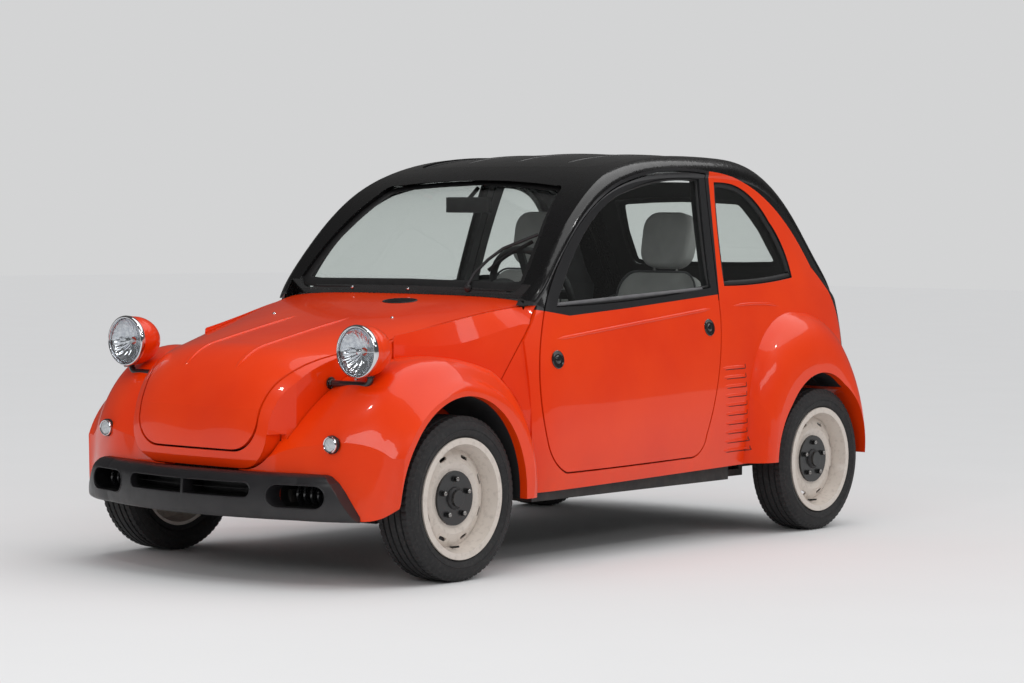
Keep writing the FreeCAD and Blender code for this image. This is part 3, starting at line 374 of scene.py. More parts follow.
def sweep(line, section, closed=False, ups=None):
    """Runs a closed section of (side, up) points along a line; ups are the local outward directions."""
    count = len(line)
    sides = len(section)
    points = []
    for i, p in enumerate(line):
        if closed:
            tangent = line[(i + 1) % count] - line[i - 1]
        else:
            tangent = line[min(i + 1, count - 1)] - line[max(i - 1, 0)]
        tangent.normalize()
        up = Vector(ups[i]) if ups is not None else Vector((0, 0, 1))
        if abs(up.normalized().dot(tangent)) > 0.97:
            up = Vector((0, 1, 0))
        side = tangent.cross(up).normalized()
        up = side.cross(tangent).normalized()
        for s, u in section:
            points.append(p + side * s + up * u)
    faces = []
    spans = count if closed else count - 1
    for i in range(spans):
        following = (i + 1) % count
        for k in range(sides):
            m = (k + 1) % sides
            faces.append((i * sides + k, i * sides + m, following * sides + m, following * sides + k))
    if not closed:
        faces.append(tuple(range(sides))[::-1])
        faces.append(tuple((count - 1) * sides + k for k in range(sides)))
    mesh = mesh_from(points, faces)
    work = bmesh.new()
    work.from_mesh(mesh)
    return finish_bmesh(work)


def round_section(radius, sides=10):
    return [(radius * math.cos(2 * math.pi * k / sides), radius * math.sin(2 * math.pi * k / sides))
        for k in range(sides)]


def tube(name, points, radius, skin, body="body", sides=12, per=8, slot="trim_plastic"):
    line = smooth_line(points, per)
    return piece(name, sweep(line, round_section(radius, sides)), skin, body, slot=slot)


def mirror_mesh(mesh):
    made = mesh.copy()
    work = bmesh.new()
    work.from_mesh(made)
    for vert in work.verts:
        vert.co.x = -vert.co.x
    bmesh.ops.reverse_faces(work, faces=work.faces)
    work.to_mesh(made)
    work.free()
    return made


SIDES = (("left", 1), ("right", -1))


def both_sides(name, mesh, skin, bodies="body", slot="trim_plastic"):
    """A left piece and its mirror image; bodies is one name or a (left, right) pair."""
    if isinstance(bodies, str):
        bodies = (bodies, bodies)
    left = piece(name + "_left", mesh, skin, bodies[0], slot=slot)
    right = piece(name + "_right", mirror_mesh(mesh), skin, bodies[1], slot=slot)
    return left, right


def tree_of(*names):
    """A search tree over the CAD nodes named."""
    points, faces = [], []
    for name in names:
        mesh = NODES[name].data
        start = len(points)
        points += [v.co.copy() for v in mesh.vertices]
        faces += [tuple(start + v for v in p.vertices) for p in mesh.polygons]
    return BVHTree.FromPolygons(points, faces)


def on_skin(tree, aft, z, lift=0.0):
    """The point on the left side at a side-view place, and the outward direction there."""
    start = Vector((1.2, AXLE_Y + aft * MM, z * MM))
    hit, normal, _, _ = tree.ray_cast(start, Vector((-1, 0, 0)))
    if hit is None:
        return None
    if normal.x < 0:
        normal = -normal
    return hit + normal * lift, normal


def on_top(tree, x, aft, lift=0.0):
    hit, normal, _, _ = tree.ray_cast(Vector((x * MM, AXLE_Y + aft * MM, 2.5)), Vector((0, 0, -1)))
    if hit is None:
        return None
    if normal.z < 0:
        normal = -normal
    return hit + normal * lift, normal


# ---- CAD nodes: materials ----
def layered(name, base, *layers):
    """A copy of a material with further coats over it, each (mask, tone, roughness, coat, grain)."""
    made = base.copy()
    made.name = name
    tree = made.node_tree
    out = next(n for n in tree.nodes if n.type == "OUTPUT_MATERIAL")
    coords = next(n for n in tree.nodes if n.type == "TEX_COORD")
    place = coords.outputs["Object"]
    under = out.inputs["Surface"].links[0].from_socket
    for mask, tone, rough, coat, grain in layers:
        shader = node(tree, "BsdfPrincipled", Roughness=rough, Coat_Weight=coat, Coat_Roughness=0.1)
        patches = spread(tree, noise(tree, place, 12.0, 5.0), 0.0, 1.0, 0.3, 0.7)
        join(tree, mixed(tree, patches, tone, tuple(c * 0.82 for c in tone)), shader.inputs["Base Color"])
        join(tree, bumped(tree, noise(tree, place, 700.0), grain), shader.inputs["Normal"])
        blend = node(tree, "MixShader")
        join(tree, mask(tree, coords), blend.inputs[0])
        join(tree, under, blend.inputs[1])
        join(tree, shader.outputs[0], blend.inputs[2])
        under = blend.outputs[0]
    join(tree, under, out.inputs["Surface"])
    return made


def parts_of(tree, coords, kind="Object"):
    """The x, y and z sockets of a place or a normal."""
    split = node(tree, "SeparateXYZ")
    join(tree, coords.outputs[kind], split.inputs[0])
    return split.outputs


FACING_IN = 0.35


def facing_in(sign):
    """Mask of the faces that look towards the middle of the car."""
    def mask(tree, coords):
        outward = maths(tree, "MULTIPLY", parts_of(tree, coords, "Normal")["X"], float(sign))
        return maths(tree, "LESS_THAN", outward, -FACING_IN)
    return mask


# The door's waist, as straight runs: start behind the front axle, height there, slope.
WAIST = ((0.575, 0.908, -0.144), (0.707, 0.889, 0.0609), (1.052, 0.910, 0.0724))


def above_waist(tree, coords):
    place = parts_of(tree, coords)
    line = None
    for start, height, slope in WAIST:
        run = maths(tree, "MULTIPLY", place["Y"], slope)
        run = maths(tree, "ADD", run, height - slope * (AXLE_Y + start))
        line = run if line is None else maths(tree, "MAXIMUM", line, run)
    return maths(tree, "GREATER_THAN", place["Z"], line)


def below(height):
    def mask(tree, coords):
        return maths(tree, "LESS_THAN", parts_of(tree, coords)["Z"], height)
    return mask


# The door's rear edge: everything above the waist and ahead of it is black.
PILLAR_FOOT, PILLAR_SLOPE = (1.652, 1.008), 0.160


def door_opening(tree, coords):
    place = parts_of(tree, coords)
    edge = maths(tree, "MULTIPLY", place["Z"], PILLAR_SLOPE)
    edge = maths(tree, "ADD", edge, AXLE_Y + PILLAR_FOOT[0] + 0.004 - PILLAR_SLOPE * PILLAR_FOOT[1])
    ahead = maths(tree, "LESS_THAN", place["Y"], edge)
    return maths(tree, "MULTIPLY", ahead, above_waist(tree, coords))


REVEAL_FROM_Z = 0.93
WHEEL_HOUSE_X = 0.742


def inner_reveal(sign):
    """Mask of the faces round the windows that don't look outwards."""
    def mask(tree, coords):
        outward = maths(tree, "MULTIPLY", parts_of(tree, coords, "Normal")["X"], float(sign))
        return maths(tree, "MULTIPLY", maths(tree, "LESS_THAN", outward, 0.12),
            maths(tree, "GREATER_THAN", parts_of(tree, coords)["Z"], REVEAL_FROM_Z))
    return mask


ARCH_RISE = 0.350


def wheel_house(sign, middle, half):
    """Mask of the wheel opening's inside, a little within the outer skin, which is blacked as painted shade."""
    def mask(tree, coords):
        place = parts_of(tree, coords)
        along = maths(tree, "DIVIDE", maths(tree, "ADD", place["Y"], -AXLE_Y - middle), half + 0.006)
        up = maths(tree, "DIVIDE", maths(tree, "ADD", place["Z"], -TYRE_R), ARCH_RISE + 0.006)
        up = maths(tree, "MAXIMUM", up, 0.0)
        reach = maths(tree, "ADD", maths(tree, "MULTIPLY", along, along), maths(tree, "MULTIPLY", up, up))
        inside = maths(tree, "LESS_THAN", maths(tree, "MULTIPLY", place["X"], float(sign)), WHEEL_HOUSE_X)
        return maths(tree, "MULTIPLY", inside, maths(tree, "LESS_THAN", reach, 1.0))
    return mask


def facing_ahead(tree, coords):
    """Mask of the tail's faces that look towards the cabin."""
    return maths(tree, "LESS_THAN", parts_of(tree, coords, "Normal")["Y"], 0.08)


LINING = srgb(104, 103, 105)
# black of the two-tone paint; inside the wheel openings the same black is painted shade
TWIN_BLACK_AND_SHADE = srgb(32, 32, 34)
BRACKET_TOP = 0.6985
lamp_red = shade("lamp_red", srgb(176, 12, 14), srgb(150, 8, 10), 0.12, spots=30.0, grain=240.0,
    grain_depth=0.0003, Coat_Weight=1.0, Transmission_Weight=0.25)


def dress(skin, *names):
    for name in names:
        slots = NODES[name].material_slots
        if not slots:
            NODES[name].data.materials.append(skin)
        for one in slots:
            one.material = skin


for side, sign in SIDES:
    # black door openings and window reveals, grey inner faces, and black inside the wheel opening as painted
    # shade
    lined = layered("body_paint_" + side, paint, (door_opening, TWIN_BLACK_AND_SHADE, 0.38, 0.3, 0.00004),
        (inner_reveal(sign), TWIN_BLACK_AND_SHADE, 0.6, 0.0, 0.0001), (facing_in(sign), LINING, 0.75, 0.0, 0.0002),
        (wheel_house(sign, 2.211, 0.296), TWIN_BLACK_AND_SHADE, 0.8, 0.0, 0.0006))
    dress(lined, "body_side_" + side)
    dress(layered("door_paint_" + side, paint, (above_waist, TWIN_BLACK_AND_SHADE, 0.38, 0.3, 0.00004),
        (facing_in(sign), LINING, 0.75, 0.0, 0.0002)), "door_" + side)
    # the front wheel opening's inside is blacked as painted shade
    dress(layered("fender_paint_" + side, paint, (wheel_house(sign, 0.002, 0.322), TWIN_BLACK_AND_SHADE, 0.8, 0.0,
        0.0006)), "front_fender_" + side)
    dress(window, "door_glass_" + side)
    dress(chassis, "knuckle_" + side)
dress(paint, "bonnet", "nose_panel")
dress(layered("tail_paint", paint, (facing_ahead, TWIN_BLACK_AND_SHADE, 0.6, 0.0, 0.0001)), "tail_panel", "tailgate")
dress(layered("headlamp_paint", paint, (below(BRACKET_TOP), TWIN_BLACK_AND_SHADE, 0.3, 0.5, 0.00003)),
    "headlamp_housings")
dress(black, "roof_hoop", "roof_panel", "scuttle")
dress(plastic, "front_bumper", "rear_bumper")
dress(window, "windscreen", "quarter_glass", "tailgate_glass")
dress(trim, "steering_wheel", "mirror_inside", "wiper")
dress(soft_trim, "dashboard")
dress(chassis, "floor_pan", "front_suspension", "rear_axle")
dress(iron, "engine_block", "exhaust", "radiator")
dress(lamp_red, "tail_lamps")
dress(lamp_glass, "front_lamps")
dress(cloth, "seat_left", "seat_right", "rear_bench")

hub_paint = {"front": wheel_paint_material("wheel_paint_front", FRONT_HUB),
    "rear": wheel_paint_material("wheel_paint_rear", REAR_HUB)}
rubber = {"front": tyre_material("tyre_front", FRONT_HUB), "rear": tyre_material("tyre_rear", REAR_HUB)}


# ---- tyres ----
PITCHES = 72
STEPS_PER_PITCH = 4


def tyre_profile():
    """Section from the inner bead over the tread to the outer bead, as (axial, radius)."""
    half = TYRE_W / 2
    r = TYRE_R
    wall = [(0.0690, 0.1925), (0.0690, 0.2095), (0.0715, 0.2125), (0.0750, 0.2160), (0.0775, 0.2200),
        (half - 0.002, 0.2290), (half - 0.0006, 0.2350), (half - 0.0018, 0.2360), (half - 0.0018, 0.2372),
        (half - 0.0004, 0.2384), (half - 0.0012, 0.2480), (half - 0.0035, 0.2560), (half - 0.0075, 0.2640),
        (half - 0.0070, 0.2655), (half - 0.0115, 0.2720), (half - 0.0165, 0.2778)]
    tread = []
    edge = half - 0.0180
    grooves = (-0.0405, -0.0145, 0.0145, 0.0405)
    width, depth = 0.0042, 0.0065
    stations = []
    for g in grooves:
        stations += [(g - width, 0), (g - width + 0.0008, 1), (g + width - 0.0008, 1), (g + width, 0)]
    ribs = [-edge + 0.0005, -0.0550, -0.0500, -0.0275, 0.0, 0.0275, 0.0500, 0.0550, edge - 0.0005]
    for x in ribs:
        stations.append((x, 0))
    for x, low in sorted(stations):
        crown = 0.0030 * (abs(x) / half) ** 2.2
        tread.append((x, r - 0.0002 - crown - (depth if low else 0.0)))
    inner = [(-a, rr) for a, rr in wall]
    return inner + tread + wall[::-1]


def make_tyre(end, side, sign, hub):
    profile = tyre_profile()
    radius_of = [r for _, r in profile]
    axial_of = [a for a, _ in profile]
    steps = PITCHES * STEPS_PER_PITCH

    def relief(step, i):
        a, r = axial_of[i], radius_of[i]
        phase = step % STEPS_PER_PITCH
        if r > TYRE_R - 0.0120 and abs(a) > 0.0445 and abs(a) < TYRE_W / 2 - 0.0100:
            return (0.0, -0.0034 if phase == 0 else 0.0)
        if r > TYRE_R - 0.0030 and abs(a) > 0.0190:
            return (0.0, -0.0022 if phase == 2 else 0.0)
        return (0.0, 0.0)

    origin = Vector((sign * abs(hub.x), hub.y, hub.z))
    mesh = ring_surface(profile, steps, origin, relief=relief, closed=True)
    body = "wheel_%s_%s" % (end, side)
    made = piece("tyre_tread_%s_%s" % (end, side), mesh, rubber[end], body, slot="tyre_rubber")
    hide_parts("tyre_%s_%s" % (end, side))


def make_wheel_trim(end, side, sign, hub):
    """Lug nuts, centre ring and valve."""
    dress(hub_paint[end], "rim_%s_%s" % (end, side))
    body = "wheel_%s_%s" % (end, side)
    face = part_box("rim_%s_%s" % (end, side))
    outer = face[1].x if sign > 0 else face[0].x
    cap_x = outer - sign * 0.0360
    work = bmesh.new()
    for k in range(5):
        angle = math.radians(72.0 * k + 90.0)
        spot = Vector((cap_x, hub.y + 0.066 * math.cos(angle), hub.z + 0.066 * math.sin(angle)))
        turn = Matrix.Translation(spot) @ Matrix.Rotation(math.radians(90), 4, "Y")
        bmesh.ops.create_cone(work, cap_ends=True, segments=6, radius1=0.0105, radius2=0.0098, depth=0.020,
            matrix=turn)
        bmesh.ops.create_uvsphere(work, u_segments=12, v_segments=6, radius=0.0086,
            matrix=Matrix.Translation(spot + Vector((sign * 0.0085, 0, 0))))
    piece("lug_nuts_%s_%s" % (end, side), finish_bmesh(work), steel, body, slot="wheel_paint")
    x = cap_x - sign * 0.002
    ring = [(x, 0.0400), (x + sign * 0.0060, 0.0385), (x + sign * 0.0105, 0.0330), (x + sign * 0.0125, 0.0250),
        (x + sign * 0.0110, 0.0200), (x + sign * 0.0090, 0.0180), (x + sign * 0.0086, 0.0004)]
    mesh = ring_surface(ring, 48, Vector((0, hub.y, hub.z)))
    piece("hub_cap_%s_%s" % (end, side), mesh, trim, body, slot="wheel_paint")
    valve = Vector((outer - sign * 0.030, hub.y, hub.z - 0.166))
    stem = sweep([valve + Vector((-sign * 0.03, 0, -0.004)), valve, valve + Vector((sign * 0.012, 0, 0.002))],
        round_section(0.0035, 8), ups=[(0, 0, 1)] * 3)
    piece("valve_%s_%s" % (end, side), stem, rubber_seal, body, slot="tyre_rubber")


for side, sign in SIDES:
    for end, hub in (("front", FRONT_HUB), ("rear", REAR_HUB)):
        make_tyre(end, side, sign, hub)
        make_wheel_trim(end, side, sign, hub)


# ---- laying lines and rings on the bodies ----
def arc_outline(corners, per=6):
    """Points along a closed chain of arcs; every second corner is the middle of an arc."""
    out = []
    count = len(corners)
    for i in range(0, count, 2):
        a, m, b = (Vector((*corners[(i + k) % count], 0.0)) for k in range(3))
        bend = m * 2 - (a + b) / 2
        for k in range(per):
            t = k / per
            out.append(a * (1 - t) ** 2 + bend * (2 * t * (1 - t)) + b * t ** 2)
    return out


def evenly(loop, step):
    """A closed loop with points added along its longer runs."""
    out = []
    for i, p in enumerate(loop):
        q = loop[(i + 1) % len(loop)]
        parts = max(1, int((q - p).length / step))
        out += [p.lerp(q, k / parts) for k in range(parts)]
    return out


def inset(loop, by):
    """A closed loop moved towards its inside."""
    count = len(loop)
    middle = sum(loop, Vector()) / count
    out = []
    for i, p in enumerate(loop):
        along = (loop[(i + 1) % count] - loop[i - 1]).normalized()
        inward = Vector((-along.y, along.x, 0.0))
        if inward.dot(middle - p) < 0:
            inward = -inward
        out.append(p + inward * by)
    return out


# How a flat outline meets the body: the way it looks, and which two axes its points give.
def cast_side(tree, p, lift):
    return on_skin(tree, p.x, p.y, lift)


def cast_ahead(tree, p, lift):
    """p is (x, height); looks backwards from ahead of the nose."""
    hit, normal, _, _ = tree.ray_cast(Vector((p.x * MM, -3.0, p.y * MM)), Vector((0, 1, 0)))
    return turned(hit, normal, lift, Vector((0, -1, 0)))


def cast_behind(tree, p, lift):
    hit, normal, _, _ = tree.ray_cast(Vector((p.x * MM, 3.0, p.y * MM)), Vector((0, -1, 0)))
    return turned(hit, normal, lift, Vector((0, 1, 0)))


def cast_down(tree, p, lift):
    """p is (x, aft)."""
    return on_top(tree, p.x, p.y, lift)


def turned(hit, normal, lift, way):
    if hit is None:
        return None
    if normal.dot(way) < 0:
        normal = -normal
    return hit + normal * lift, normal


def laid(tree, points, cast, lift=0.0):
    """Lays flat points on a body; returns the line and the outward directions."""
    found = [cast(tree, p, lift * MM) for p in points]
    found = [one for one in found if one]
    return [one[0] for one in found], [one[1] for one in found]


def half_round(width, height, sink=1.0, sides=7):
    """Section of a bead: a half ellipse over a flat foot, in millimetres."""
    out = [(-width / 2 * MM, -sink * MM)]
    for k in range(sides):
        angle = math.pi * (1 - k / (sides - 1))
        out.append((width / 2 * math.cos(angle) * MM, height * math.sin(angle) * MM))
    out.append((width / 2 * MM, -sink * MM))
    return out


def bead(tree, points, cast, section, lift=0.0, closed=False):
    line, ups = laid(tree, points, cast, lift)
    return sweep(line, section, closed=closed, ups=ups)


def flat(points, per=6, closed=False):
    return smooth_line([(a, b, 0.0) for a, b in points], per, closed)


def tapered(tree, points, cast, width, height, fade=0.25, sink=1.5):
    """A bead that swells out of the surface and dies back into it at both ends."""
    line, ups = laid(tree, points, cast)
    count = len(line)
    base = half_round(width, height, sink)
    mesh = sweep(line, base, ups=ups)
    sides = len(base)
    for i in range(count):
        t = i / (count - 1)
        share = min(1.0, t / fade, (1 - t) / fade)
        share = share * share * (3 - 2 * share)
        low = line[i] - ups[i] * 0.0008
        for k in range(sides):
            vert = mesh.vertices[i * sides + k]
            vert.co = low + (vert.co - low) * max(share, 0.02)
    return mesh


def disc_on(spot, normal, profile, steps=36):
    """A turned piece standing on a surface; profile is (height, radius) in millimetres."""
    mesh = ring_surface([(a * MM, max(r, 0.01) * MM) for a, r in profile], steps, Vector((0, 0, 0)))
    turn = Vector((1, 0, 0)).rotation_difference(normal).to_matrix().to_4x4()
    mesh.transform(Matrix.Translation(spot) @ turn)
    return mesh


def button(name, skin, body, slot, *shape):
    """A turned piece of its own on a surface; shape is what disc_on takes."""
    piece(name, disc_on(*shape), skin, body, slot=slot)


# ---- headlamps ----
LAMP_RING = ((11, 89.6), (8, 90.4), (2, 91.0), (-3, 90.2), (-6, 88.0), (-7.2, 85.0), (-6.4, 82.4), (-3, 80.6),
    (2, 80.0), (11, 80.2))
REFLECTOR = ((4, 78.8), (8, 76.0), (14, 70.0), (20, 62.0), (26, 52.0), (31, 40.0), (35, 27.0), (37, 14.0))
MARKER_RING = ((8, 28.0), (0, 29.4), (-4, 28.6), (-6, 26.0), (-4.6, 23.4), (0, 22.6), (4, 22.4))
LAMP_SPOT = (562, -327, 787)
MARKER_SPOT = (546, -437, 481)
MARKER_R = 22.4
BRACKET_FOOT = (402, -280, 674)
FLUTES = 22


def reflector_mesh(origin):
    """A bowl with radial flutes in its lower half and plain facets above."""
    steps = FLUTES * 6

    def relief(step, i):
        angle = 2 * math.pi * step / steps
        flute = math.cos(angle * FLUTES)
        low = 1.0 if math.sin(angle) < 0 else 0.28
        depth = 0.0016 * min(1.0, i / 2.0, (len(REFLECTOR) - 1 - i) / 2.0)
        return (depth * flute * low, 0.0)

    profile = [(d * MM, r * MM) for d, r in REFLECTOR]
    return ring_surface(profile, steps, origin, axis="Y", relief=relief)


def make_headlamps():
    origin = at(*LAMP_SPOT)
    ring = lamp_ring(LAMP_RING, 96, origin, closed=True)
    both_sides("headlamp_ring", ring, chrome, slot="lamp_clear")
    both_sides("headlamp_reflector", reflector_mesh(origin), reflector_skin, slot="lamp_clear")
    both_sides("headlamp_bar", sweep([origin + Vector((x * MM, (10 + 0.0008 * x * x) * MM, 0))
        for x in range(-74, 75, 6)], [(-0.0005, -0.0016), (0.0005, -0.0016), (0.0005, 0.0016),
        (-0.0005, 0.0016)], ups=[(0, 0, 1)] * 25), chrome, slot="lamp_clear")
    bulb = [(12, 0.01), (13, 5.0), (16, 8.4), (21, 9.6), (28, 9.0), (33, 7.0), (37, 6.6)]
    mesh = lamp_ring(bulb, 28, origin)
    both_sides("headlamp_bulb", mesh, bulb_skin, slot="lamp_clear")
    cap = [(14.5, 9.6), (10, 10.2), (6, 9.4), (4, 6.0), (3.4, 0.01)]
    both_sides("headlamp_cap", lamp_ring(cap, 28, origin), chrome, slot="lamp_clear")
    # clamp screw under the ring, and the bracket's foot on the panel
    both_sides("headlamp_screw", disc_on(origin + Vector((0, 0.004, -0.0905)), Vector((0, -1, 0)),
        ((-8, 3.4), (6, 3.4), (8, 4.6), (10, 4.2), (10.6, 0.01)), 16), steel, slot="lamp_clear")
    foot = at(*BRACKET_FOOT)
    both_sides("bracket_foot", disc_on(foot, Vector((1, 0, 0)),
        ((-2, 21.0), (2.4, 21.0), (3.6, 19.6), (4.4, 14.0), (6.5, 12.0), (9, 11.4), (12, 11.2)), 32), black,
        slot="black_paint")
    for k, angle in enumerate((0.6, 2.7, 4.7)):
        spot = foot + Vector((0.003, 0.0165 * math.cos(angle), 0.0165 * math.sin(angle)))
        both_sides("bracket_bolt_%d" % k, disc_on(spot, Vector((1, 0, 0)),
            ((-1, 3.2), (2.4, 3.2), (3.2, 2.4), (3.4, 0.01)), 6), steel, slot="black_paint")
    both_sides("bracket_nut", disc_on(at(LAMP_SPOT[0] + 20, -280, LAMP_SPOT[2] - 84), Vector((0, 0, -1)),
        ((-2, 15.0), (3.5, 15.0), (5.0, 13.0), (5.2, 10.8)), 6), black, slot="black_paint")


def reflector_material():
    """Bright mirror with the fine facets of a pressed reflector."""
    made, tree, out, place = material("reflector")
    shader = node(tree, "BsdfPrincipled", Metallic=1.0)
    facets = node(tree, "TexVoronoi", Scale=85.0)
    join(tree, place, facets.inputs["Vector"])
    tone = mixed(tree, facets.outputs["Distance"], srgb(236, 237, 240), srgb(196, 198, 204))
    return surfaced(made, tree, out, shader, tone, spread(tree, noise(tree, place, 60.0), 0.10, 0.22),
        bumped(tree, facets.outputs["Distance"], 0.0006))


reflector_skin = reflector_material()
bulb_skin = shade("bulb_glass", srgb(214, 216, 214), srgb(196, 198, 196), 0.12, spots=90.0, grain=900.0,
    grain_depth=0.00004, Coat_Weight=0.6)
marker_skin = shade("marker_lens", srgb(206, 210, 212), srgb(176, 182, 186), 0.16, spots=120.0, grain=700.0,
    grain_depth=0.0004, Coat_Weight=0.8)
# near-black liner and slat behind the bumper's slots; on the bonnet vent it is painted shade
dark_hole = shade("dark_liner_and_shade", srgb(15, 15, 16), srgb(10, 10, 11), 0.5, spots=20.0, grain=400.0,
    grain_depth=0.0003)
dark_gloss = shade("dark_gloss", srgb(26, 26, 28), srgb(20, 20, 22), 0.14, spots=12.0, grain=300.0,
    grain_depth=0.00004, Coat_Weight=1.0)
make_headlamps()


def make_markers():
    origin = at(*MARKER_SPOT)
    both_sides("marker_ring", lamp_ring(MARKER_RING, 48, origin), chrome, slot="lamp_clear")
    lens = []
    for k in range(15):
        r = MARKER_R * (1 - k / 14)
        lens.append((-2.2 - 2.6 * (1 - (r / MARKER_R) ** 2) - (0.5 if k % 2 else 0.0), max(r, 0.01)))
    mesh = lamp_ring(lens, 48, origin)
    both_sides("marker_lens", mesh, marker_skin, slot="lamp_clear")
    gasket = [(12, 31.0), (2, 31.0), (0.5, 29.5), (0.5, 27.0)]
    both_sides("marker_gasket", lamp_ring(gasket, 48, origin), rubber_seal, slot="lamp_clear")


make_markers()


# ---- front bumper ----
def slot_outline(x0, x1, z0, z1, per=10):
    """Outline of a slot with round ends, as (x, height) points."""
    r = (z1 - z0) / 2
    out = []
    for cx, start in ((x1 - r, -90), (x0 + r, 90)):
        for k in range(per + 1):
            angle = math.radians(start + 180 * k / per)
            out.append(Vector((cx + r * math.cos(angle), (z0 + z1) / 2 + r * math.sin(angle), 0.0)))
    return evenly(out, 14)


BUMPER_SLOTS = {"grille": (10, 288, 297, 345), "fog": (352, 560, 270, 344)}


def make_bumper_details():
    tree = tree_of("front_bumper")
    for name, slot in BUMPER_SLOTS.items():
        outline = inset(slot_outline(*slot), -2.5)
        if name == "grille":
            kept = [k for k, p in enumerate(outline) if p.x > 16]
            first = next(k for k in kept if outline[k - 1].x <= 16)
            outline = [outline[(first + k) % len(outline)] for k in range(len(kept))]
        both_sides("bumper_lip_" + name, bead(tree, outline, cast_ahead, half_round(5.0, 1.8, 1.5),
            closed=name != "grille"), plastic, slot="bumper_plastic")
    # dark boxes behind the slots, with one slat across each grille
    for name, slot, front, back in (("grille", BUMPER_SLOTS["grille"], -552, -500),
            ("fog", BUMPER_SLOTS["fog"], -474, -380)):
        loop = inset(slot_outline(*slot), 1.2 if name == "grille" else 0.6)
        count = len(loop)
        points = []
        for depth in (front, (front + back) / 2, back):
            points += [at(p.x, depth + 0.00028 * p.x * p.x * (name == "grille"), p.y) for p in loop]
        points.append(at(sum(p.x for p in loop) / count, back, sum(p.y for p in loop) / count))
        faces = [(r * count + k, r * count + (k + 1) % count, (r + 1) * count + (k + 1) % count,
            (r + 1) * count + k) for r in range(2) for k in range(count)]
        faces += [(2 * count + k, 2 * count + (k + 1) % count, 3 * count) for k in range(count)]
        both_sides(name + "_box", mesh_from(points, faces), dark_hole)
    line = [at(x, -540 + 0.00035 * x * x, 319) for x in range(10, 291, 14)]
    both_sides("grille_slat", sweep(line, [(-0.010, -0.0016), (0.010, -0.001), (0.010, 0.001),
        (-0.010, 0.0016)], ups=[(0, 0.2, 1)] * len(line)), dark_hole)
    for k in range(5):
        x = 392 + 32 * k
        rib = sweep([at(x, -420 + 0.02 * (z - 307) ** 2, z) for z in range(274, 343, 6)],
            half_round(14.0, 16.0, 1.0), ups=[(0, -1, 0)] * 12)
        both_sides("fog_rib_%d" % k, rib, dark_gloss)


make_bumper_details()


# ---- window seals ----
DOOR_GLASS = ((642, 921), (1120, 938), (1600, 978), (1621, 1190), (1652, 1398), (1440, 1398), (1175, 1354),
    (880, 1215))
QUARTER_GLASS = ((1692, 984), (1945, 990), (2188, 1012), (2172, 1115), (2096, 1236), (1990, 1338),
    (1860, 1384), (1804, 1388), (1750, 1388), (1712, 1190))


def make_side_seals():
    door_tree = tree_of("door_glass_left")
    loop = arc_outline(DOOR_GLASS, 9)
    seal = bead(door_tree, inset(loop, 5.0), cast_side, half_round(13.0, 7.0, 3.0), closed=True)
    both_sides("door_glass_seal", seal, rubber_seal, ("door_left", "door_right"), slot="black_paint")
    waist = [Vector((a, 921 + (a - 642) * 0.0505 + 7, 0)) for a in range(650, 1597, 18)]
    both_sides("door_waist_strip", bead(door_tree, waist, cast_side, half_round(15.0, 9.0, 2.0), lift=1.0),
        soft_trim, ("door_left", "door_right"), slot="black_paint")
    quarter_tree = tree_of("quarter_glass")
    loop = arc_outline(QUARTER_GLASS, 8)
    both_sides("quarter_seal", bead(quarter_tree, inset(loop, 9.0), cast_side, half_round(24.0, 9.0, 3.0),
        closed=True), rubber_seal, slot="black_paint")


make_side_seals()


# ---- details pressed into the side, and painted shadow under the louvres ----
def make_side_details():
    door_tree = tree_of("door_left")
    side_tree = tree_of("body_side_left")
    swage = flat([(603, 806), (930, 838), (1260, 869), (1591, 900)], 14)
    mesh = tapered(door_tree, swage, cast_side, 12.0, 3.2, fade=0.06)
    both_sides("door_swage", mesh, paint, ("door_left", "door_right"), slot="body_paint")
    swage = flat([(1700, 905), (1830, 912), (1970, 911), (2080, 895)], 12)
    mesh = tapered(side_tree, swage, cast_side, 12.0, 3.2, fade=0.3)
    both_sides("quarter_swage", mesh, paint, slot="body_paint")
    for k in range(10):
        t = k / 9
        start, end = 1612 + 11 * t * 4.2 - 32 * t * t, 1766 + 12 * t
        z = 670 - 320 * t
        if k == 9:
            start = 1623
        line = flat([(start, z - 2), ((start + end) / 2, z), (end, z + 1)], 6)
        both_sides("side_louvre_%d" % k, tapered(side_tree, line, cast_side, 13.0, 3.4, fade=0.12), paint,
            slot="body_paint")
        # a thin dark bead under each louvre and up its rear end is painted shadow of the louvre
        shadow = flat([(start + 6, z - 9), ((start + end) / 2, z - 7), (end - 2, z - 6), (end + 3, z + 4),
            (end + 3, z + 14)], 6)
        both_sides("side_louvre_gap_%d" % k, tapered(side_tree, shadow, cast_side, 3.4, 0.5, fade=0.1,
            sink=1.0), rubber_seal, slot="body_paint")
    for name, spot, radius in (("door_button", (1550, 827), 31.0), ("door_cap", (609, 735), 31.0)):
        place, normal = on_skin(door_tree, *spot)
        both_sides(name, disc_on(place, normal, ((-3, radius + 2), (1.6, radius + 2), (3.4, radius),
            (3.2, radius - 3), (2.2, radius - 5), (2.0, 15), (3.6, 13), (4.6, 10), (5.0, 0.01)), 40),
            dark_gloss, ("door_left", "door_right"))


make_side_details()


# ---- bonnet, scuttle and screen ----
VENT = (98, 412, 72, 44)          # middle in x and aft, half width and half depth


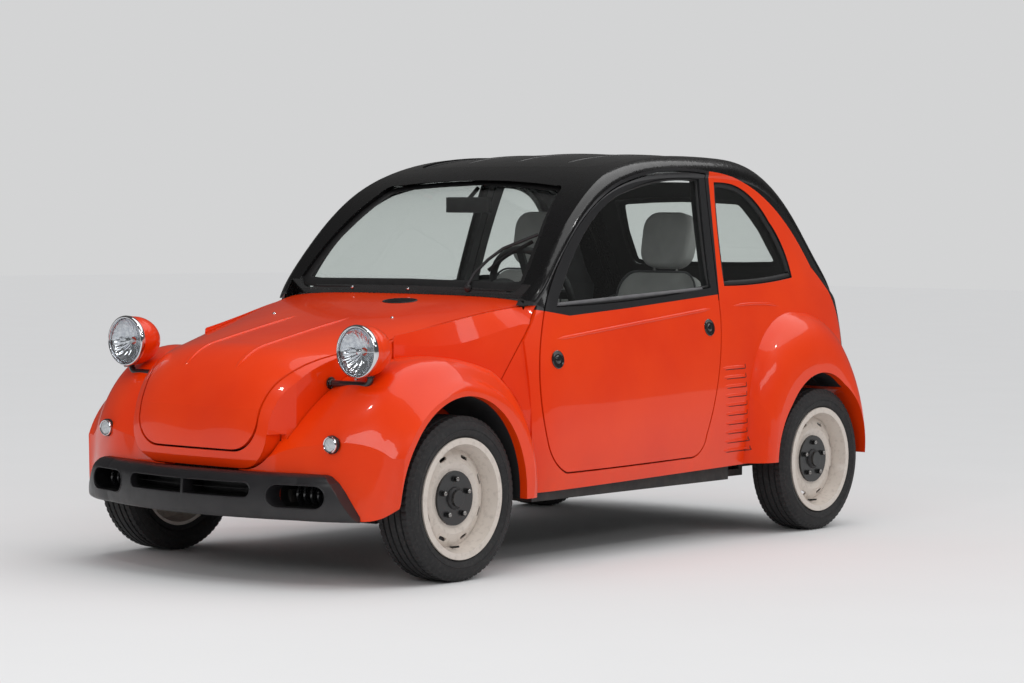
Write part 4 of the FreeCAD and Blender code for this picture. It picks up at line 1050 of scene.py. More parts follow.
def make_bonnet_details():
    lid = tree_of("bonnet")
    rib = flat([(122, -470), (124, -440), (125, -390), (126, -320), (127, -220), (128, -90), (129, 40),
        (130, 140)], 8)
    both_sides("bonnet_rib", tapered(lid, rib, cast_down, 20.0, 4.5, fade=0.2), paint, "bonnet",
        slot="body_paint")
    # plain oval vent near the screen: its opening is a flat dark sheet on the lid, painted shade in place of a
    # hole
    loop = [Vector((VENT[0] + VENT[2] * math.cos(a), VENT[1] + VENT[3] * math.sin(a), 0))
        for a in (2 * math.pi * k / 48 for k in range(48))]
    line, ups = laid(lid, loop, cast_down, 0.6)
    spot, _ = on_top(lid, VENT[0], VENT[1], 0.0022)
    points = [spot] + line
    faces = [(0, 1 + k, 1 + (k + 1) % 48) for k in range(48)]
    piece("bonnet_vent", mesh_from(points, faces), dark_hole, "bonnet")
    piece("bonnet_vent_rim", sweep(line, half_round(7.0, 2.4, 1.5), closed=True, ups=ups), trim, "bonnet")
    for k in range(5):
        y = VENT[1] + 13 * (k - 2)
        half = (VENT[2] - 8) * math.sqrt(max(0.0, 1 - ((y - VENT[1]) / (VENT[3] - 2)) ** 2))
        piece("vent_slat_%d" % k, bead(lid, [Vector((VENT[0] + half * s / 10, y, 0))
            for s in range(-10, 11, 2)], cast_down, half_round(3.6, 3.2, 0.5), lift=1.0), trim, "bonnet")
    for name, x, aft in (("jet_left", 290, 154), ("jet_right", -290, 154)):
        place, normal = on_top(lid, x, aft)
        button(name, chrome, "bonnet", "trim_plastic", place, normal,
            ((-2, 6), (1.5, 6), (3.4, 4.6), (5.0, 2.4), (5.2, 0.01)), 20)
    for k, x in enumerate((-272, 8, 298)):
        button("scuttle_stud_%d" % k, chrome, "body", "trim_plastic", at(x, 561, 975),
            Vector((0, -0.94, 0.34)), ((-4, 7.5), (2, 7.5), (4.5, 6.6), (7, 4.6), (8.4, 0.01)), 24)


make_bonnet_details()


# ---- wiper ----
def make_wiper():
    blade = [(348, 612, 1050), (372, 640, 1080), (398, 664, 1107), (432, 690, 1131), (474, 714, 1157)]
    line = smooth_line([at(*p) for p in blade], 6)
    up = Vector((0, -0.72, 0.69))
    section = [(-0.0022, -0.010), (0.0022, -0.010), (0.0034, -0.002), (0.0030, 0.003), (-0.0030, 0.003),
        (-0.0034, -0.002)]
    piece("wiper_blade", sweep(line, section, ups=[up] * len(line)), rubber_seal)
    pivot = at(299, 556, 984)
    button("wiper_cap", trim, "body", "trim_plastic", pivot, Vector((0, -0.62, 0.78)),
        ((-8, 13), (4, 13), (8, 11.5), (11, 8.5), (12, 0.01)), 28)


make_wiper()


# ---- seats: padded covers blown up with the cloth solver ----
def hull_mesh(outline, depth):
    """A cushion block from a front outline of (across, up), extruded to both sides of zero depth."""
    work = bmesh.new()
    layers = []
    for s, scale in ((-1.0, 0.90), (-0.72, 1.0), (0.72, 1.0), (1.0, 0.90)):
        middle = sum(outline, Vector()) / len(outline)
        layers.append([work.verts.new((middle.x + (p.x - middle.x) * scale, s * depth / 2,
            middle.y + (p.y - middle.y) * scale)) for p in outline])
    count = len(outline)
    for a, b in zip(layers, layers[1:]):
        for k in range(count):
            work.faces.new((a[k], a[(k + 1) % count], b[(k + 1) % count], b[k]))
    work.faces.new(layers[0][::-1])
    work.faces.new(layers[-1])
    return finish_bmesh(work)


def rounded_box_outline(width, height, radius, taper=0.0, per=6):
    """Outline of a panel with round corners, narrower at the top by taper."""
    out = []
    half, tall = width / 2, height / 2
    for cx, cz, start in ((half - radius, tall - radius, 0), (-half + radius, tall - radius, 90),
            (-half + radius, -tall + radius, 180), (half - radius, -tall + radius, 270)):
        for k in range(per + 1):
            angle = math.radians(start + 90 * k / per)
            x, z = cx + radius * math.cos(angle), cz + radius * math.sin(angle)
            out.append(Vector((x * (1 - taper * (z / tall + 1) / 2), z, 0)))
    return out


def blown(mesh, turn, place, voxel, seams, pressure=4.0, reach=0.024):
    """Remeshes a block evenly, blows it up as cloth with its seams held, and leaves a plain mesh."""
    thing = bpy.data.objects.new("cushion", mesh)
    bpy.context.scene.collection.objects.link(thing)
    bpy.context.view_layer.objects.active = thing
    remesh = thing.modifiers.new("even", "REMESH")
    remesh.mode = "VOXEL"
    remesh.voxel_size = voxel * 1.0
    baked(thing)
    rest = [v.co.copy() for v in thing.data.vertices]
    group = thing.vertex_groups.new(name="held")
    for v in thing.data.vertices:
        hold = seams(v.co)
        if hold > 0:
            group.add([v.index], min(1.0, hold), "REPLACE")
    cloth_mod = thing.modifiers.new("cloth", "CLOTH")
    settings = cloth_mod.settings
    settings.quality = 5
    settings.mass = 0.3
    settings.use_pressure = True
    settings.uniform_pressure_force = pressure
    settings.vertex_group_mass = "held"
    settings.tension_stiffness = 18
    settings.compression_stiffness = 18
    settings.shear_stiffness = 6
    settings.bending_stiffness = 0.4
    settings.effector_weights.gravity = 0.0
    cloth_mod.collision_settings.use_collision = False
    cloth_mod.point_cache.frame_start = 1
    cloth_mod.point_cache.frame_end = 20
    for step in range(1, 21):
        bpy.context.scene.frame_set(step)
    baked(thing)
    bpy.context.scene.frame_set(1)
    for v, old in zip(thing.data.vertices, rest):
        moved = v.co - old
        if moved.length > reach:
            v.co = old + moved * (reach / moved.length)
    smooth = thing.modifiers.new("smooth", "SMOOTH")
    smooth.iterations = 3
    smooth.factor = 0.5
    baked(thing)
    made = thing.data
    bpy.data.objects.remove(thing)
    for k, axis in enumerate("XYZ"):
        made.transform(Matrix.Rotation(math.radians(turn[k]), 4, axis))
    made.transform(Matrix.Translation(place))
    return made


def baked(thing):
    """Applies every modifier on an object."""
    graph = bpy.context.evaluated_depsgraph_get()
    done = bpy.data.meshes.new_from_object(thing.evaluated_get(graph))
    thing.modifiers.clear()
    thing.data = done


def line_hold(axis, spots, width):
    """Holds cloth along lines where one coordinate takes given values."""
    def hold(co):
        return max((1.0 - abs(co[axis] - s) / width) * 1.6 for s in spots)
    return hold


def joined(name, *meshes):
    work = bmesh.new()
    for mesh in meshes:
        work.from_mesh(mesh)
    made = bpy.data.meshes.new(name)
    work.to_mesh(made)
    work.free()
    return made


SEAT_X = 330
SEAT_VOXEL = 0.0058
WELT_AT = 0.40                     # share of a cushion's depth at which its welt runs


def cushion_part(width, height, depth, radius, turn, place, grooves, reach, taper=0.0, pressure=4.0):
    outline = rounded_box_outline(width, height, radius, taper)
    block = hull_mesh(outline, depth)
    across_hold = line_hold(0, grooves[0], 0.011) if grooves[0] else (lambda co: 0.0)
    up_hold = line_hold(2, grooves[1], 0.011) if grooves[1] else (lambda co: 0.0)
    edge = rim_hold(width, height, depth, taper)
    return blown(block, turn, place, SEAT_VOXEL, lambda co: max(across_hold(co), up_hold(co), edge(co)),
        pressure, reach)


def rim_hold(width, height, depth, taper):
    """Holds the welt that runs round the front and back edges."""
    def hold(co):
        half = width / 2 * (1 - taper * (co.z / (height / 2) + 1) / 2)
        to_side = min(half - abs(co.x), height / 2 - abs(co.z))
        off_welt = abs(abs(co.y) - depth * WELT_AT)
        if to_side < 0.012 and off_welt < 0.010:
            return 1.2
        return 0.0
    return hold


# Cushions: width, height, depth, corner radius, turn and place.
SEAT_PAN = (0.440, 0.455, 0.135, 0.070, (90, 0, 0), at(0, 1360, 405))
SEAT_BACK = (0.420, 0.600, 0.092, 0.085, (-16, 0, 0), at(0, 1648, 735))
BENCH_PAN = (0.955, 0.370, 0.118, 0.050, (90, 0, 0), at(0, 2108, 492))
BENCH_BACK = (0.930, 0.415, 0.082, 0.060, (-18, 0, 0), at(0, 2351, 705))
BACK_TAPER = 0.12


def make_front_seat():
    """One seat's three cushions, centred on x = 0."""
    seat_pan = cushion_part(*SEAT_PAN, ((-0.135, 0.135), (-0.05, 0.09)), 0.012)
    back = cushion_part(*SEAT_BACK, ((-0.125, 0.125), (-0.14, 0.03)), 0.012, taper=BACK_TAPER)
    head = cushion_part(0.226, 0.222, 0.072, 0.066, (-12, 0, 0), at(0, 1760, 1157), ((), ()), 0.010,
        taper=-0.06)
    return joined("seat_cover", seat_pan, back, head)


def welt(width, height, depth, radius, turn, place, taper=0.0):
    """Piping round a cushion's front edge."""
    outline = rounded_box_outline(width * 1.005, height * 1.005, radius, taper, 8)
    matrix = Matrix.Translation(place)
    for k, axis in ((2, "Z"), (1, "Y"), (0, "X")):
        matrix = matrix @ Matrix.Rotation(math.radians(turn[k]), 4, axis)
    line = [matrix @ Vector((p.x, -depth * WELT_AT, p.y)) for p in outline]
    return sweep(line, round_section(0.0042, 8), closed=True,
        ups=[matrix.to_3x3() @ Vector((0, 1, 0))] * len(line))


def make_seats():
    cover = make_front_seat()
    posts = joined("head_posts", *(sweep([at(x, 1728, 1000), at(x, 1742, 1060)], round_section(0.006, 10),
        ups=[(0, 1, 0)] * 2) for x in (-55, 55)))
    welts = joined("seat_welts", welt(*SEAT_PAN), welt(*SEAT_BACK, BACK_TAPER))
    rails = [slab((0.030, 0.420, 0.022), 0.004, at(x, 1360, 270)) for x in (-175, 175)]
    shell = joined("seat_shell", slab((0.360, 0.380, 0.075), 0.012, at(0, 1360, 300)), *rails)
    for side, sign in SIDES:
        shift = Matrix.Translation(Vector((sign * SEAT_X * MM, 0, 0)))
        for source, skin in ((cover, cloth), (welts, piping), (posts, steel), (shell, trim)):
            mesh = source.copy()
            mesh.transform(shift)
            made = piece("%s_%s" % (source.name, side), mesh, skin, slot="seat_cloth")
            if source is cover:
                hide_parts("seat_" + side)
        button("recliner_" + side, trim, "body", "seat_cloth", at(sign * (SEAT_X + 225), 1580, 430),
            Vector((sign, 0, 0)), ((-12, 34), (4, 34), (8, 30), (10, 16), (16, 14), (18, 0.01)), 32)


def slab(size, bevel, place, turn=(0, 0, 0)):
    """Mesh of a moulded block with rounded edges."""
    work = bmesh.new()
    bmesh.ops.create_cube(work, size=1.0)
    bmesh.ops.scale(work, vec=Vector(size), verts=work.verts)
    bmesh.ops.bevel(work, geom=list(work.edges), offset=bevel, segments=3, profile=0.5, affect="EDGES")
    turned_by = Matrix.Translation(Vector(place))
    for k, axis in enumerate("XYZ"):
        turned_by = turned_by @ Matrix.Rotation(math.radians(turn[k]), 4, axis)
    bmesh.ops.transform(work, matrix=turned_by, verts=work.verts)
    return finish_bmesh(work)


def block(name, skin, body, slot, *shape):
    """A moulded block as a piece of its own; shape is what slab takes."""
    piece(name, slab(*shape), skin, body, slot=slot)


def make_bench():
    pan = cushion_part(*BENCH_PAN, ((-0.16, 0.16), (-0.02,)), 0.012)
    back = cushion_part(*BENCH_BACK, ((-0.16, 0.16), (0.02,)), 0.011)
    made = piece("bench_cover", joined("bench_cover", pan, back), cloth, slot="seat_cloth")
    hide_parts("rear_bench")
    welts = joined("bench_welts", welt(*BENCH_PAN), welt(*BENCH_BACK))
    piece("bench_welts", welts, piping, slot="seat_cloth")


make_seats()
make_bench()


# ---- dashboard, steering wheel and controls ----
WHEEL_AT = (352, 868, 960)
WHEEL_TILT = 24.0
GRIP_R = 0.180


def make_dash():
    # binnacle with a round dial in front of the driver
    x = WHEEL_AT[0]
    facing = Vector((0, 0.94, 0.34)).normalized()
    button("dash_binnacle", trim, "body", "trim_plastic", at(x, 708, 935), facing,
        ((-40, 88), (10, 86), (26, 80), (30, 76), (24, 72), (8, 70)), 48)
    button("dash_dial", dark_gloss, "body", "trim_plastic", at(x, 708, 935), facing,
        ((9, 71), (10, 66), (8.5, 64), (8.5, 0.01)), 48)
    button("dash_dial_hub", steel, "body", "trim_plastic", at(x, 714, 937), facing,
        ((2, 8), (6, 7), (7, 0.01)), 24)
    for k in range(13):
        angle = math.radians(-30 + 20 * k)
        up = Vector((0, -facing.z, facing.y))
        spot = at(x, 708, 935) + facing * 0.0092 + Vector((math.cos(angle), 0,
            0)) * 0.057 + up * (math.sin(angle) * 0.057)
        mark = slab((0.0022, 0.0008, 0.007), 0.0002, (0, 0, 0))
        mark.transform(Matrix.Rotation(math.pi / 2 - angle, 4, "Y"))
        mark.transform(Matrix.Rotation(math.radians(-20), 4, "X"))
        mark.transform(Matrix.Translation(spot))
        piece("dial_mark_%02d" % k, mark, bulb_skin)
    for k, vx in enumerate((-470, -60, 60, 500)):
        block("dash_vent_%d" % k, trim, "body", "trim_plastic", (0.105, 0.020, 0.052), 0.006, at(vx, 748, 868),
            (8, 0, 0))
        for j in range(4):
            block("dash_fin_%d_%d" % (k, j), dark_gloss, "body", "trim_plastic", (0.092, 0.004, 0.003), 0.001,
                at(vx, 759, 850 + 12 * j), (-18, 0, 0))
    block("dash_shelf", trim, "body", "trim_plastic", (1.10, 0.022, 0.012), 0.004, at(0, 756, 806), (0, 0, 0))
    block("glove_lid", soft_trim, "body", "trim_plastic", (0.360, 0.010, 0.075), 0.004, at(-330, 752, 762),
        (22, 0, 0))
    for k, kx in enumerate((-36, 0, 36)):
        button("heater_knob_%d" % k, trim, "body", "trim_plastic", at(kx, 744, 770),
            Vector((0, 0.96, -0.2)).normalized(), ((-2, 14), (8, 13), (14, 11), (15, 0.01)), 24)


def make_steering_wheel():
    centre = at(*WHEEL_AT)
    tilt = math.radians(WHEEL_TILT)
    axis = Vector((0, math.cos(tilt), math.sin(tilt)))
    up = Vector((0, -math.sin(tilt), math.cos(tilt)))
    rim = []
    for k in range(96):
        angle = 2 * math.pi * k / 96
        rim.append(centre + Vector((1, 0, 0)) * GRIP_R * math.cos(angle) + up * GRIP_R * math.sin(angle))
    mesh = sweep(rim, round_section(0.0134, 14), closed=True, ups=[axis] * 96)
    for i in range(0, 96, 2):
        for k in range(14):
            vert = mesh.vertices[i * 14 + k]
            vert.co = rim[i] + (vert.co - rim[i]) * 1.035
    piece("wheel_grip", mesh, trim, "steering_wheel")
    button("wheel_boss", soft_trim, "steering_wheel", "trim_plastic", centre, axis,
        ((-20, 50), (14, 50), (20, 46), (24, 36), (26, 20), (26.5, 0.01)), 48)
    for k, angle in enumerate((0, 180, 270)):
        way = Vector((1, 0, 0)) * math.cos(math.radians(angle)) + up * math.sin(math.radians(angle))
        line = [centre + way * r + axis * (0.004 + 0.010 * math.sin(math.pi * (r - 0.04) / 0.14))
            for r in (0.040, 0.070, 0.100, 0.130, 0.172)]
        piece("wheel_spoke_%d" % k, sweep(line, [(-0.016, -0.004), (0.016, -0.004), (0.014, 0.004),
            (0.0, 0.0055), (-0.014, 0.004)], ups=[axis] * 5), soft_trim, "steering_wheel")
    for name, sign in (("stalk_left", 1), ("stalk_right", -1)):
        start = centre - axis * 0.052 + Vector((sign * 0.022, 0, 0))
        tube(name, [start, start + Vector((sign * 0.07, 0, 0.004)),
            start + Vector((sign * 0.125, 0.006, 0.010))], 0.0058, trim)


def make_controls():
    base = at(20, 905, 350)
    gaiter = [(0.0, 0.060), (0.006, 0.058), (0.018, 0.046), (0.026, 0.048), (0.036, 0.036), (0.046, 0.037),
        (0.060, 0.024), (0.080, 0.012)]
    mesh = ring_surface(gaiter, 32, Vector((0, 0, 0)))
    mesh.transform(Matrix.Translation(base) @ Matrix.Rotation(math.radians(-90), 4, "Y"))
    piece("gear_gaiter", mesh, rubber_seal)
    tube("gear_lever", [base + Vector((0, 0, 0.05)), base + Vector((0, 0.015, 0.20)),
        base + Vector((0, 0.035, 0.33))], 0.0062, steel)
    knob = ring_surface([(-0.022, 0.007), (-0.016, 0.014), (0.0, 0.021), (0.016, 0.023), (0.026, 0.019),
        (0.031, 0.010), (0.032, 0.0001)], 28, Vector((0, 0, 0)))
    knob.transform(Matrix.Translation(base + Vector((0, 0.036, 0.335))) @ Matrix.Rotation(math.radians(-90), 4,
        "Y"))
    piece("gear_knob", knob, trim)
    tube("hand_brake", [at(-40, 1420, 366), at(-40, 1330, 395), at(-40, 1245, 425)], 0.011, trim)
    for k, px in enumerate((250, 330, 420)):
        tube("pedal_arm_%d" % k, [at(px, 565, 600), at(px, 610, 470), at(px, 625, 392)], 0.0065, steel)
        block("pedal_pad_%d" % k, rubber_seal, "body", "trim_plastic", (0.052, 0.010, 0.062), 0.004,
            at(px, 630, 385), (-28, 0, 0))
    for side, sign in SIDES:
        block("floor_mat_" + side, carpet, "body", "seat_cloth", (0.40, 0.56, 0.008), 0.003,
            at(sign * 330, 850, 263))
        block("rear_mat_" + side, carpet, "body", "seat_cloth", (0.38, 0.20, 0.008), 0.003,
            at(sign * 330, 1730, 263))


def make_mirror():
    block("mirror_glass", chrome, "body", "trim_plastic", (0.196, 0.004, 0.048), 0.0015, at(-60, 997, 1290))
    block("mirror_frame", trim, "body", "trim_plastic", (0.212, 0.020, 0.060), 0.007, at(-60, 984, 1290))


def make_door_cards():
    """Armrest, pull, winder and a pocket on each door's inner face."""
    for side, sign in SIDES:
        body = "door_" + side
        x = sign * 598
        block("armrest_" + side, soft_trim, body, "trim_plastic", (0.052, 0.340, 0.046), 0.014,
            at(x, 1220, 700))
        block("door_pocket_" + side, trim, body, "trim_plastic", (0.040, 0.560, 0.110), 0.012, at(x, 1060, 450))
        button("winder_hub_" + side, trim, body, "trim_plastic", at(sign * 606, 960, 690),
            Vector((-sign, 0, 0)), ((-6, 20), (6, 18), (12, 14), (14, 0.01)), 28)
        tube("winder_arm_" + side, [at(sign * 594, 960, 690), at(sign * 586, 915, 668),
            at(sign * 580, 878, 652)], 0.0055, steel, body)
        button("winder_knob_" + side, trim, body, "trim_plastic", at(sign * 578, 878, 652),
            Vector((-sign, 0, 0)), ((-6, 9), (8, 11), (20, 10), (24, 6), (25, 0.01)), 24)
        block("door_latch_" + side, chrome, body, "trim_plastic", (0.018, 0.090, 0.020), 0.006,
            at(x, 1420, 780))


make_dash()
make_steering_wheel()
make_controls()
make_mirror()
make_door_cards()


# ---- tail: lamps, plate, lock and pipes ----
TAIL_LAMP = (556, 2592, 700)
TAIL_R = 48.4
TAIL_RING = ((-16, 52.0), (-2, 54.0), (3, 53.0), (5, 50.5), (3, 48.5), (-2, 48.0))


def make_tail_lamps():
    origin = at(*TAIL_LAMP)
    both_sides("tail_ring", lamp_ring(TAIL_RING, 64, origin), chrome, slot="lamp_red")
    dome = []
    for k in range(17):
        r = TAIL_R * (1 - k / 16)
        dome.append((1.0 + 7.0 * (1 - (r / TAIL_R) ** 2) + (0.7 if k % 2 else 0.0), max(r, 0.01)))
    both_sides("tail_dome", lamp_ring(dome, 64, origin), lamp_red, slot="lamp_red")
    for k, dx in enumerate((-30, 30)):
        spot = origin + Vector((dx * MM, 0.0052, 0))
        both_sides("tail_screw_%d" % k, disc_on(spot, Vector((0, 1, 0)),
            ((-2, 3.4), (1.0, 3.2), (1.8, 2.0), (2, 0.01)), 14), steel, slot="lamp_red")


# Outlines of the glass in front and rear view, x and z, right half from the bottom up
SCREEN_EDGE = ((0, 988), (300, 985), (460, 983), (522, 988), (545, 1006), (540, 1060), (513, 1170),
    (478, 1254), (446, 1326), (430, 1348), (396, 1362), (200, 1376), (0, 1384))
TAIL_EDGE = ((0, 1044), (200, 1046), (340, 1050), (366, 1060), (372, 1084), (356, 1200), (338, 1256),
    (322, 1296), (306, 1318), (280, 1326), (140, 1333), (0, 1336))


def glass_band(name, node_name, edge, cast, body, by, width):
    """Black rubber laid on a pane along its edge."""
    outline = [Vector((x, z, 0)) for x, z in edge] + [Vector((-x, z, 0)) for x, z in reversed(edge[1:-1])]
    line, ups = laid(tree_of(node_name), inset(evenly(outline, 24), by), cast)
    piece(name, sweep(line, half_round(width, 3.4, 1.5), closed=True, ups=ups), rubber_seal, body,
        slot="black_paint")


plate_skin = shade("plate_pale", srgb(214, 213, 208), srgb(206, 205, 200), 0.38, spots=8.0, grain=300.0,
    grain_depth=0.00003, edge=0.002)


def make_tail_details():
    glass_band("tail_glass_band", "tailgate_glass", TAIL_EDGE, cast_behind, "tailgate", 9.0, 28.0)
    glass_band("screen_band", "windscreen", SCREEN_EDGE, cast_ahead, "body", 8.0, 44.0)
    gate = tree_of("tailgate")
    found = cast_behind(gate, Vector((0, 640, 0)), 0.0)
    if found:
        spot, normal = found
        block("plate_blank", plate_skin, "tailgate", "body_paint", (0.520, 0.006, 0.112), 0.002,
            spot + normal * 0.006)
        block("plate_frame", trim, "tailgate", "trim_plastic", (0.540, 0.008, 0.130), 0.003,
            spot + normal * 0.001)
    found = cast_behind(gate, Vector((0, 745, 0)), 0.0)
    if found:
        spot, normal = found
        block("gate_handle", trim, "tailgate", "trim_plastic", (0.180, 0.026, 0.030), 0.009,
            spot + normal * 0.010)
        for k, x in enumerate((-0.05, 0.05)):
            block("plate_lamp_%d" % k, marker_skin, "tailgate", "trim_plastic", (0.040, 0.016, 0.008), 0.003,
                spot + normal * 0.012 + Vector((x, 0, -0.018)))
        button("gate_lock", steel, "tailgate", "trim_plastic", spot + normal * 0.024, Vector((0, 1, 0)),
            ((-4, 9), (1, 9), (2, 7), (1.4, 3), (1.2, 0.01)), 24)


def make_pipes():
    spot = at(-280, 2648, 228)
    tip = ring_surface([(-0.030, 0.0252), (0.0, 0.0258), (0.004, 0.0250), (0.004, 0.0224), (-0.020, 0.0215),
        (-0.034, 0.0001)], 32, spot, axis="Y")
    piece("pipe_tip", tip, steel, slot="engine_iron")
    for k, aft in enumerate((2330, 2506)):
        band_line = [at(x, aft, z) for x, z in ((-328, 182), (58, 182), (58, 298), (-328, 298))]
        dense = []
        for i, p in enumerate(band_line):
            q = band_line[(i + 1) % 4]
            dense += [p.lerp(q, s / 8) for s in range(8)]
        seam = sweep(dense, round_section(0.004, 8), closed=True, ups=[(0, 1, 0)] * len(dense))
        piece("silencer_seam_%d" % k, seam, iron, slot="engine_iron")
    for k, aft in enumerate((700, 1150, 1600)):
        clip = ring_surface([(-0.010, 0.0248), (-0.010, 0.0275), (0.010, 0.0275), (0.010, 0.0248)], 28,
            at(0, aft, 240), axis="Y")
        piece("pipe_clip_%d" % k, clip, steel, slot="engine_iron")


def make_engine_details():
    """Cover, filler cap, battery and hoses on top of the engine's block."""
    block("engine_cover", iron, "body", "engine_iron", (0.34, 0.22, 0.030), 0.010, at(-60, -120, 652))
    for k in range(7):
        block("cover_fin_%d" % k, iron, "body", "engine_iron", (0.006, 0.19, 0.010), 0.002,
            at(-165 + 35 * k, -120, 670))
    button("oil_cap", trim, "body", "engine_iron", at(90, -60, 664), Vector((0, 0, 1)),
        ((0, 24), (10, 23), (14, 20), (16, 0.01)), 28)
    battery = slab((0.20, 0.16, 0.150), 0.006, at(180, 60, 715))
    button("air_filter", black, "body", "engine_iron", at(-150, 60, 640), Vector((0, 0, 1)),
        ((0, 92), (40, 92), (50, 86), (54, 60), (56, 0.01)), 48)
    tube("hose_top", [at(-60, -394, 520), at(-80, -360, 600), at(-60, -300, 655), at(-20, -230, 660)], 0.018,
        rubber_seal, slot="engine_iron")
    tube("hose_low", [at(120, -394, 400), at(160, -370, 380), at(180, -332, 390)], 0.018, rubber_seal,
        slot="engine_iron")
    for k in range(4):
        tube("plug_lead_%d" % k, [at(-100 + 50 * k, -10, 655), at(-90 + 50 * k, 10, 690),
            at(-60 + 45 * k, 60, 668)], 0.0036, rubber_seal, slot="engine_iron")
    piece("battery", battery, dark_gloss, slot="engine_iron")
    for k, dx in enumerate((-60, 60)):
        button("battery_post_%d" % k, steel, "body", "engine_iron", at(180 + dx, 30, 788), Vector((0, 0, 1)),
            ((0, 9), (12, 8), (13, 0.01)), 20)
    fins = []
    for k in range(40):
        fins.append(slab((0.0016, 0.004, 0.22), 0.0004, at(-273 + 14 * k, -428, 440)))
    piece("radiator_fins", joined("radiator_fins", *fins), iron, slot="chassis_paint")


make_tail_lamps()
make_tail_details()
make_pipes()
make_engine_details()


# ---- roof seam, springs and other details underneath ----
ROOF_EDGE = ((-400, 1118), (0, 1098), (400, 1118), (440, 1150), (452, 1220), (455, 1560), (430, 1960),
    (418, 2050), (350, 2078), (0, 2096), (-350, 2078), (-418, 2050), (-430, 1960), (-455, 1560), (-452, 1220),
    (-440, 1150))


def make_roof_seam():
    top = tree_of("roof_panel")
    corners = [Vector((x, aft, 0)) for x, aft in ROOF_EDGE]
    line, ups = laid(top, inset(evenly(corners, 26), 9.0), cast_down)
    piece("roof_seam", sweep(line, half_round(12.0, 3.0, 1.5), closed=True, ups=ups), rubber_seal,
        slot="black_paint")
    for k, x in enumerate((-250, 0, 250)):
        crease = flat([(x, 1170), (x, 1400), (x, 1700), (x, 2020)], 12)
        rib = tapered(top, crease, cast_down, 26.0, 3.2, fade=0.12)
        piece("roof_rib_%d" % k, rib, black, slot="black_paint")


def coil(low, high, radius, wire, turns):
    """A coil spring between two points, closed at both ends."""
    axis = (high - low).normalized()
    side = axis.cross(Vector((0, 1, 0))).normalized()
    ahead = axis.cross(side)
    line, ups = [], []
    steps = turns * 20
    for k in range(steps + 1):
        t = k / steps
        angle = 2 * math.pi * turns * t
        out = side * math.cos(angle) + ahead * math.sin(angle)
        rise = min(1.0, max(0.0, (t * (turns + 1) - 0.5) / turns))
        line.append(low.lerp(high, rise) + out * radius)
        ups.append(out)
    return sweep(line, round_section(wire, 10), ups=ups)


def make_springs():
    spring = coil(at(526, 0, 420), at(489, 0, 510), 0.040, 0.0055, 4)
    both_sides("front_spring", spring, steel, slot="chassis_paint")
    both_sides("arm_boot", disc_on(at(575, 2, 160), Vector((0, 0, -1)),
        ((-2, 22), (3, 26), (7, 21), (11, 25), (15, 17), (15.5, 0.01)), 28), rubber_seal, slot="chassis_paint")
    both_sides("rear_spring", coil(at(452, 2234, 300), at(452, 2234, 392), 0.050, 0.006, 4), steel,
        slot="chassis_paint")
    for k, dy in enumerate((-50, 90)):
        both_sides("arm_bush_%d" % k, disc_on(at(392, dy, 200), Vector((1, 0, 0)),
            ((-8, 24), (14, 24), (18, 21), (19, 12), (19.5, 0.01)), 28), rubber_seal, slot="chassis_paint")
    for k in range(4):
        for m, aft in enumerate((720, 1560)):
            button("floor_plug_%d_%d" % (m, k), rubber_seal, "body", "chassis_paint",
                at(-450 + 300 * k, aft, 232), Vector((0, 0, -1)),
                ((-1, 24), (1.6, 24), (3.0, 21), (1.4, 16), (1.2, 0.01)), 28)


make_roof_seam()
make_springs()


# ---- stage, light and camera ----
def stage_material(name, colour):
    made, tree, out, place = material(name)
    surface = node(tree, "BsdfPrincipled", Roughness=0.9, Specular_IOR_Level=0.0)
    join(tree, mixed(tree, noise(tree, place, 1.5, 4.0), colour, tuple(c * 0.97 for c in colour)),
        surface.inputs["Base Color"])
    join(tree, surface.outputs[0], out.inputs["Surface"])
    return made


def lay_floor(name, size, skin):
    work = bmesh.new()
    bmesh.ops.create_grid(work, x_segments=8, y_segments=8, size=size)
    mesh = bpy.data.meshes.new(name)
    work.to_mesh(mesh)
    work.free()
    made = bpy.data.objects.new(name, mesh)
    mesh.materials.append(skin)
    bpy.context.scene.collection.objects.link(made)


FLOOR_PALE = (0.72, 0.72, 0.72)
lay_floor("floor", 40.0, stage_material("floor_pale", FLOOR_PALE))


def area_light(name, place, target, size, size_y, watts):
    data = bpy.data.lights.new(name, "AREA")
    data.shape = "RECTANGLE"
    data.size, data.size_y = size, size_y
    data.energy = watts
    made = bpy.data.objects.new(name, data)
    made.location = place
    direction = Vector(target) - Vector(place)
    made.rotation_euler = direction.to_track_quat("-Z", "Y").to_euler()
    bpy.context.scene.collection.objects.link(made)


overhead = bpy.data.lights.new("overhead", "SUN")
overhead.energy = 1.5
overhead.angle = math.radians(70)
overhead_lamp = bpy.data.objects.new("overhead", overhead)
overhead_lamp.rotation_euler = (math.radians(-22), math.radians(14), 0.0)
bpy.context.scene.collection.objects.link(overhead_lamp)
area_light("light_front", (3.5, -9.0, 4.5), (0, 0, 0.5), 5.0, 2.4, 150)
area_light("light_side", (9.0, 1.0, 4.4), (0, 0.2, 0.6), 6.0, 0.8, 50)
area_light("spark_front", (0.6, -3.6, 4.2), (0.2, -1.0, 0.7), 0.22, 0.22, 14)
area_light("spark_side", (4.6, -1.6, 4.4), (0.7, -0.6, 0.6), 0.22, 0.22, 14)
area_light("spark_rear", (4.8, 2.6, 4.4), (0.7, 1.2, 0.6), 0.22, 0.22, 14)

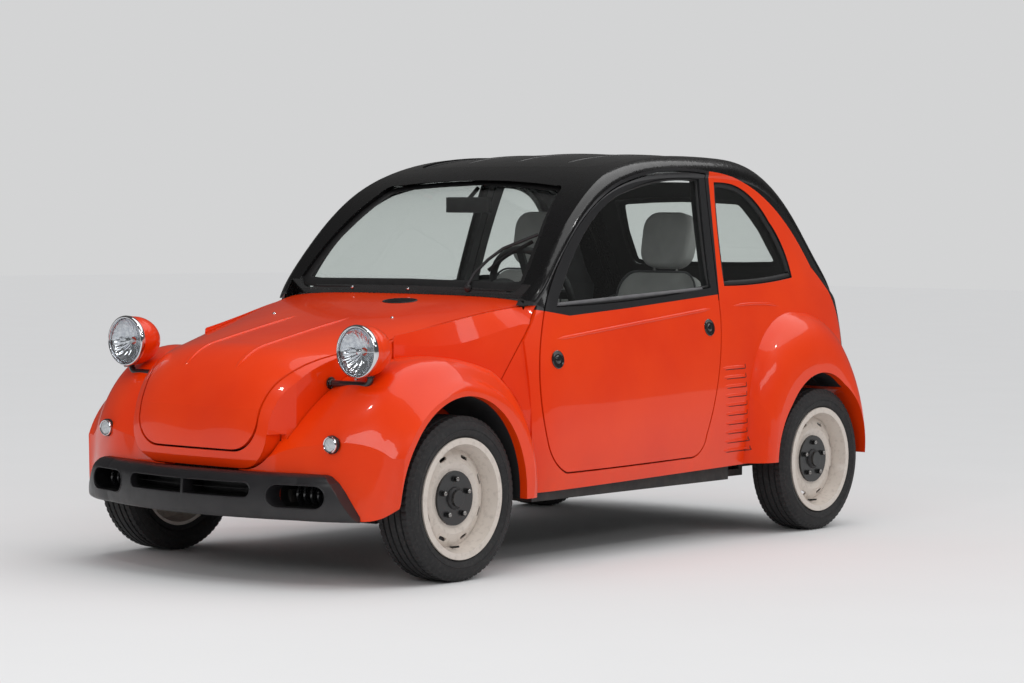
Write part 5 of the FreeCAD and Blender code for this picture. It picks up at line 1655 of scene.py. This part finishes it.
# The room: pale for what it lights and what is seen behind the car, dim where the paint mirrors it.
AMBIENT, MIRRORED, BACKDROP = 0.48, 0.09, 0.66
world = bpy.data.worlds.new("world")
bpy.context.scene.world = world
world.use_nodes = True
sky = world.node_tree
sky.nodes.clear()
sky_out = node(sky, "OutputWorld")
rays = node(sky, "LightPath")


def room(strength, tint):
    return node(sky, "Background", Color=(*tint, 1.0), Strength=strength).outputs[0]


def either(factor, a, b):
    made = node(sky, "MixShader")
    join(sky, factor, made.inputs[0])
    join(sky, a, made.inputs[1])
    join(sky, b, made.inputs[2])
    return made.outputs[0]


lit = either(rays.outputs["Is Glossy Ray"], room(AMBIENT, (0.97, 0.98, 1.0)), room(MIRRORED, (1.0, 0.99, 0.98)))
direct = maths(sky, "MAXIMUM", rays.outputs["Is Camera Ray"], rays.outputs["Is Transmission Ray"])
join(sky, either(direct, lit, room(BACKDROP, (0.99, 0.995, 1.0))), sky_out.inputs["Surface"])

# The camera stands off the left front corner at standing height.
CAMERA_AT = at(6759.4, -7098.4, 1216.8)
YAW, PITCH, ROLL = math.radians(39.228), math.radians(2.4415), math.radians(0.468)
forward = Vector((-math.sin(YAW) * math.cos(PITCH), math.cos(YAW) * math.cos(PITCH), -math.sin(PITCH)))
right = Vector((math.cos(YAW), math.sin(YAW), 0.0))
above = right.cross(forward)
tilted_right = right * math.cos(ROLL) + above * math.sin(ROLL)
tilted_up = above * math.cos(ROLL) - right * math.sin(ROLL)
camera_data = bpy.data.cameras.new("camera")
camera_data.sensor_width = 36.0
camera_data.lens = 96.58
camera_data.clip_end = 200.0
camera = bpy.data.objects.new("camera", camera_data)
camera.matrix_world = Matrix(((tilted_right.x, tilted_up.x, -forward.x, CAMERA_AT.x),
    (tilted_right.y, tilted_up.y, -forward.y, CAMERA_AT.y),
    (tilted_right.z, tilted_up.z, -forward.z, CAMERA_AT.z), (0.0, 0.0, 0.0, 1.0)))
bpy.context.scene.collection.objects.link(camera)
bpy.context.scene.camera = camera
bpy.context.scene.view_settings.view_transform = "Standard"
